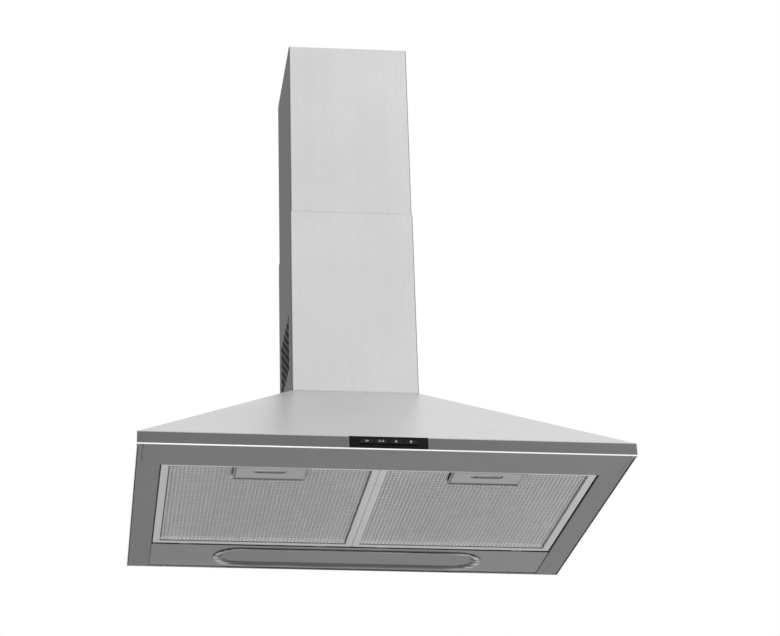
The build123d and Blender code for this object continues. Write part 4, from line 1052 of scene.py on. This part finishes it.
def makePaintedShadeSheet():
    bm = bmesh.new()
    bmesh.ops.create_grid(bm, x_segments=1, y_segments=1, size=0.5)
    high = shadeSheetLook["high"] - shadeSheetLook["low"]
    bmesh.ops.scale(bm, verts=bm.verts, vec=(2 * shadeSheetLook["halfWidth"], high, 1))
    bmesh.ops.rotate(bm, verts=bm.verts, matrix=Matrix.Rotation(math.radians(90), 3, "X"))
    bmesh.ops.translate(bm, verts=bm.verts, vec=(0, shadeSheetLook["setBack"], shadeSheetLook["low"] + high / 2))
    shadeSheet = linkPiece("studio_painted_shade", bm)
    material, tree, shader, place = newFinish("paintedShadeSheet")
    shadeSheet.data.materials.append(material)
    base = mixColour(tree, noiseNode(tree, place, 9.0), shadeSheetLook["darker"], shadeSheetLook["lighter"])
    tree.links.new(base, shader.inputs["Base Color"])
    shader.inputs["Roughness"].default_value = shadeSheetLook["roughness"]
    behind = addNode(tree, "ShaderNodeNewGeometry").outputs["Backfacing"]
    tree.links.new(mathNode(tree, "SUBTRACT", 1.0, behind), shader.inputs["Alpha"])


makePaintedShadeSheet()

# What reflections see: bright above and in front, dimmer low down at the back.
worldLook = {
    "seen": 1.0,
    "diffuse": 0.6,
    "dim": 0.2,
    "frontShare": 0.55,
    "rightShare": 0.35,
    "dimBelow": 0.03,
    "fullAbove": 0.27,
}


def makeWorld():
    world = bpy.data.worlds.new("studio")
    bpy.context.scene.world = world
    world.use_nodes = True
    tree = world.node_tree
    background = tree.nodes["Background"]
    direction = splitAxes(tree, addNode(tree, "ShaderNodeTexCoord").outputs["Generated"])
    front = mathNode(tree, "MULTIPLY", direction["Y"], -worldLook["frontShare"])
    right = mathNode(tree, "MULTIPLY", direction["X"], worldLook["rightShare"])
    rise = mathNode(tree, "ADD", direction["Z"], mathNode(tree, "ADD", front, right))
    low, high = worldLook["dimBelow"], worldLook["fullAbove"]
    dome = rangeNode(tree, rise, low, high, worldLook["dim"], worldLook["seen"], smooth=True)
    path = addNode(tree, "ShaderNodeLightPath")
    glossy, through = path.outputs["Is Glossy Ray"], path.outputs["Is Transmission Ray"]
    mirrored = mathNode(tree, "ADD", glossy, through, True)
    strength = addNode(tree, "ShaderNodeMix", data_type="FLOAT")
    tree.links.new(mirrored, strength.inputs[0])
    strength.inputs[2].default_value = worldLook["diffuse"]
    tree.links.new(dome, strength.inputs[3])
    shown = addNode(tree, "ShaderNodeMix", data_type="FLOAT")
    tree.links.new(path.outputs["Is Camera Ray"], shown.inputs[0])
    tree.links.new(strength.outputs[0], shown.inputs[2])
    shown.inputs[3].default_value = worldLook["seen"]
    tree.links.new(shown.outputs[0], background.inputs["Strength"])
    background.inputs["Color"].default_value = (1, 1, 1, 1)


makeWorld()

lamps = {
    "keyLamp": {"place": (2.6, -2.4, 2.1), "aim": (0, -0.2, 0.3), "size": 3.4, "power": 22.0},
    "lowLamp": {"place": (-0.2, -2.6, -1.35), "aim": (0, -0.45, 0), "size": 1.1, "power": 6.0},
    "fillLamp": {"place": (-2.4, -2.2, 0.6), "aim": (0, -0.2, 0.2), "size": 2.8, "power": 12.0},
    "topLamp": {"place": (0.0, -1.2, 3.0), "aim": (0, -0.2, 0.2), "size": 2.0, "power": 5.0},
}


def makeLamp(name, look):
    data = bpy.data.lights.new(name, "AREA")
    data.shape = "SQUARE"
    data.size = look["size"]
    data.energy = look["power"]
    lamp = bpy.data.objects.new(name, data)
    lamp.location = look["place"]
    aim = Vector(look["aim"]) - Vector(look["place"])
    lamp.rotation_euler = aim.to_track_quat("-Z", "Y").to_euler()
    bpy.context.scene.collection.objects.link(lamp)


for name, look in lamps.items():
    makeLamp(name, look)

cameraLook = {
    "place": (-0.3551, -2.9087, -0.9254),
    "rise": 23.69,
    "turn": -4.0,
    "lens": 101.6,
    "sensor": 36.0,
    "shift": (0.2, 0.02),
    "clipEnd": 50.0,
}


def makeCamera():
    data = bpy.data.cameras.new("photoCamera")
    data.sensor_width = cameraLook["sensor"]
    data.lens = cameraLook["lens"]
    data.shift_x, data.shift_y = cameraLook["shift"]
    data.clip_end = cameraLook["clipEnd"]
    camera = bpy.data.objects.new("photoCamera", data)
    camera.location = cameraLook["place"]
    camera.rotation_euler = (math.radians(90 + cameraLook["rise"]), 0, math.radians(cameraLook["turn"]))
    bpy.context.scene.collection.objects.link(camera)
    bpy.context.scene.camera = camera


makeCamera()
bpy.context.scene.view_settings.view_transform = "Standard"
print("studio made")
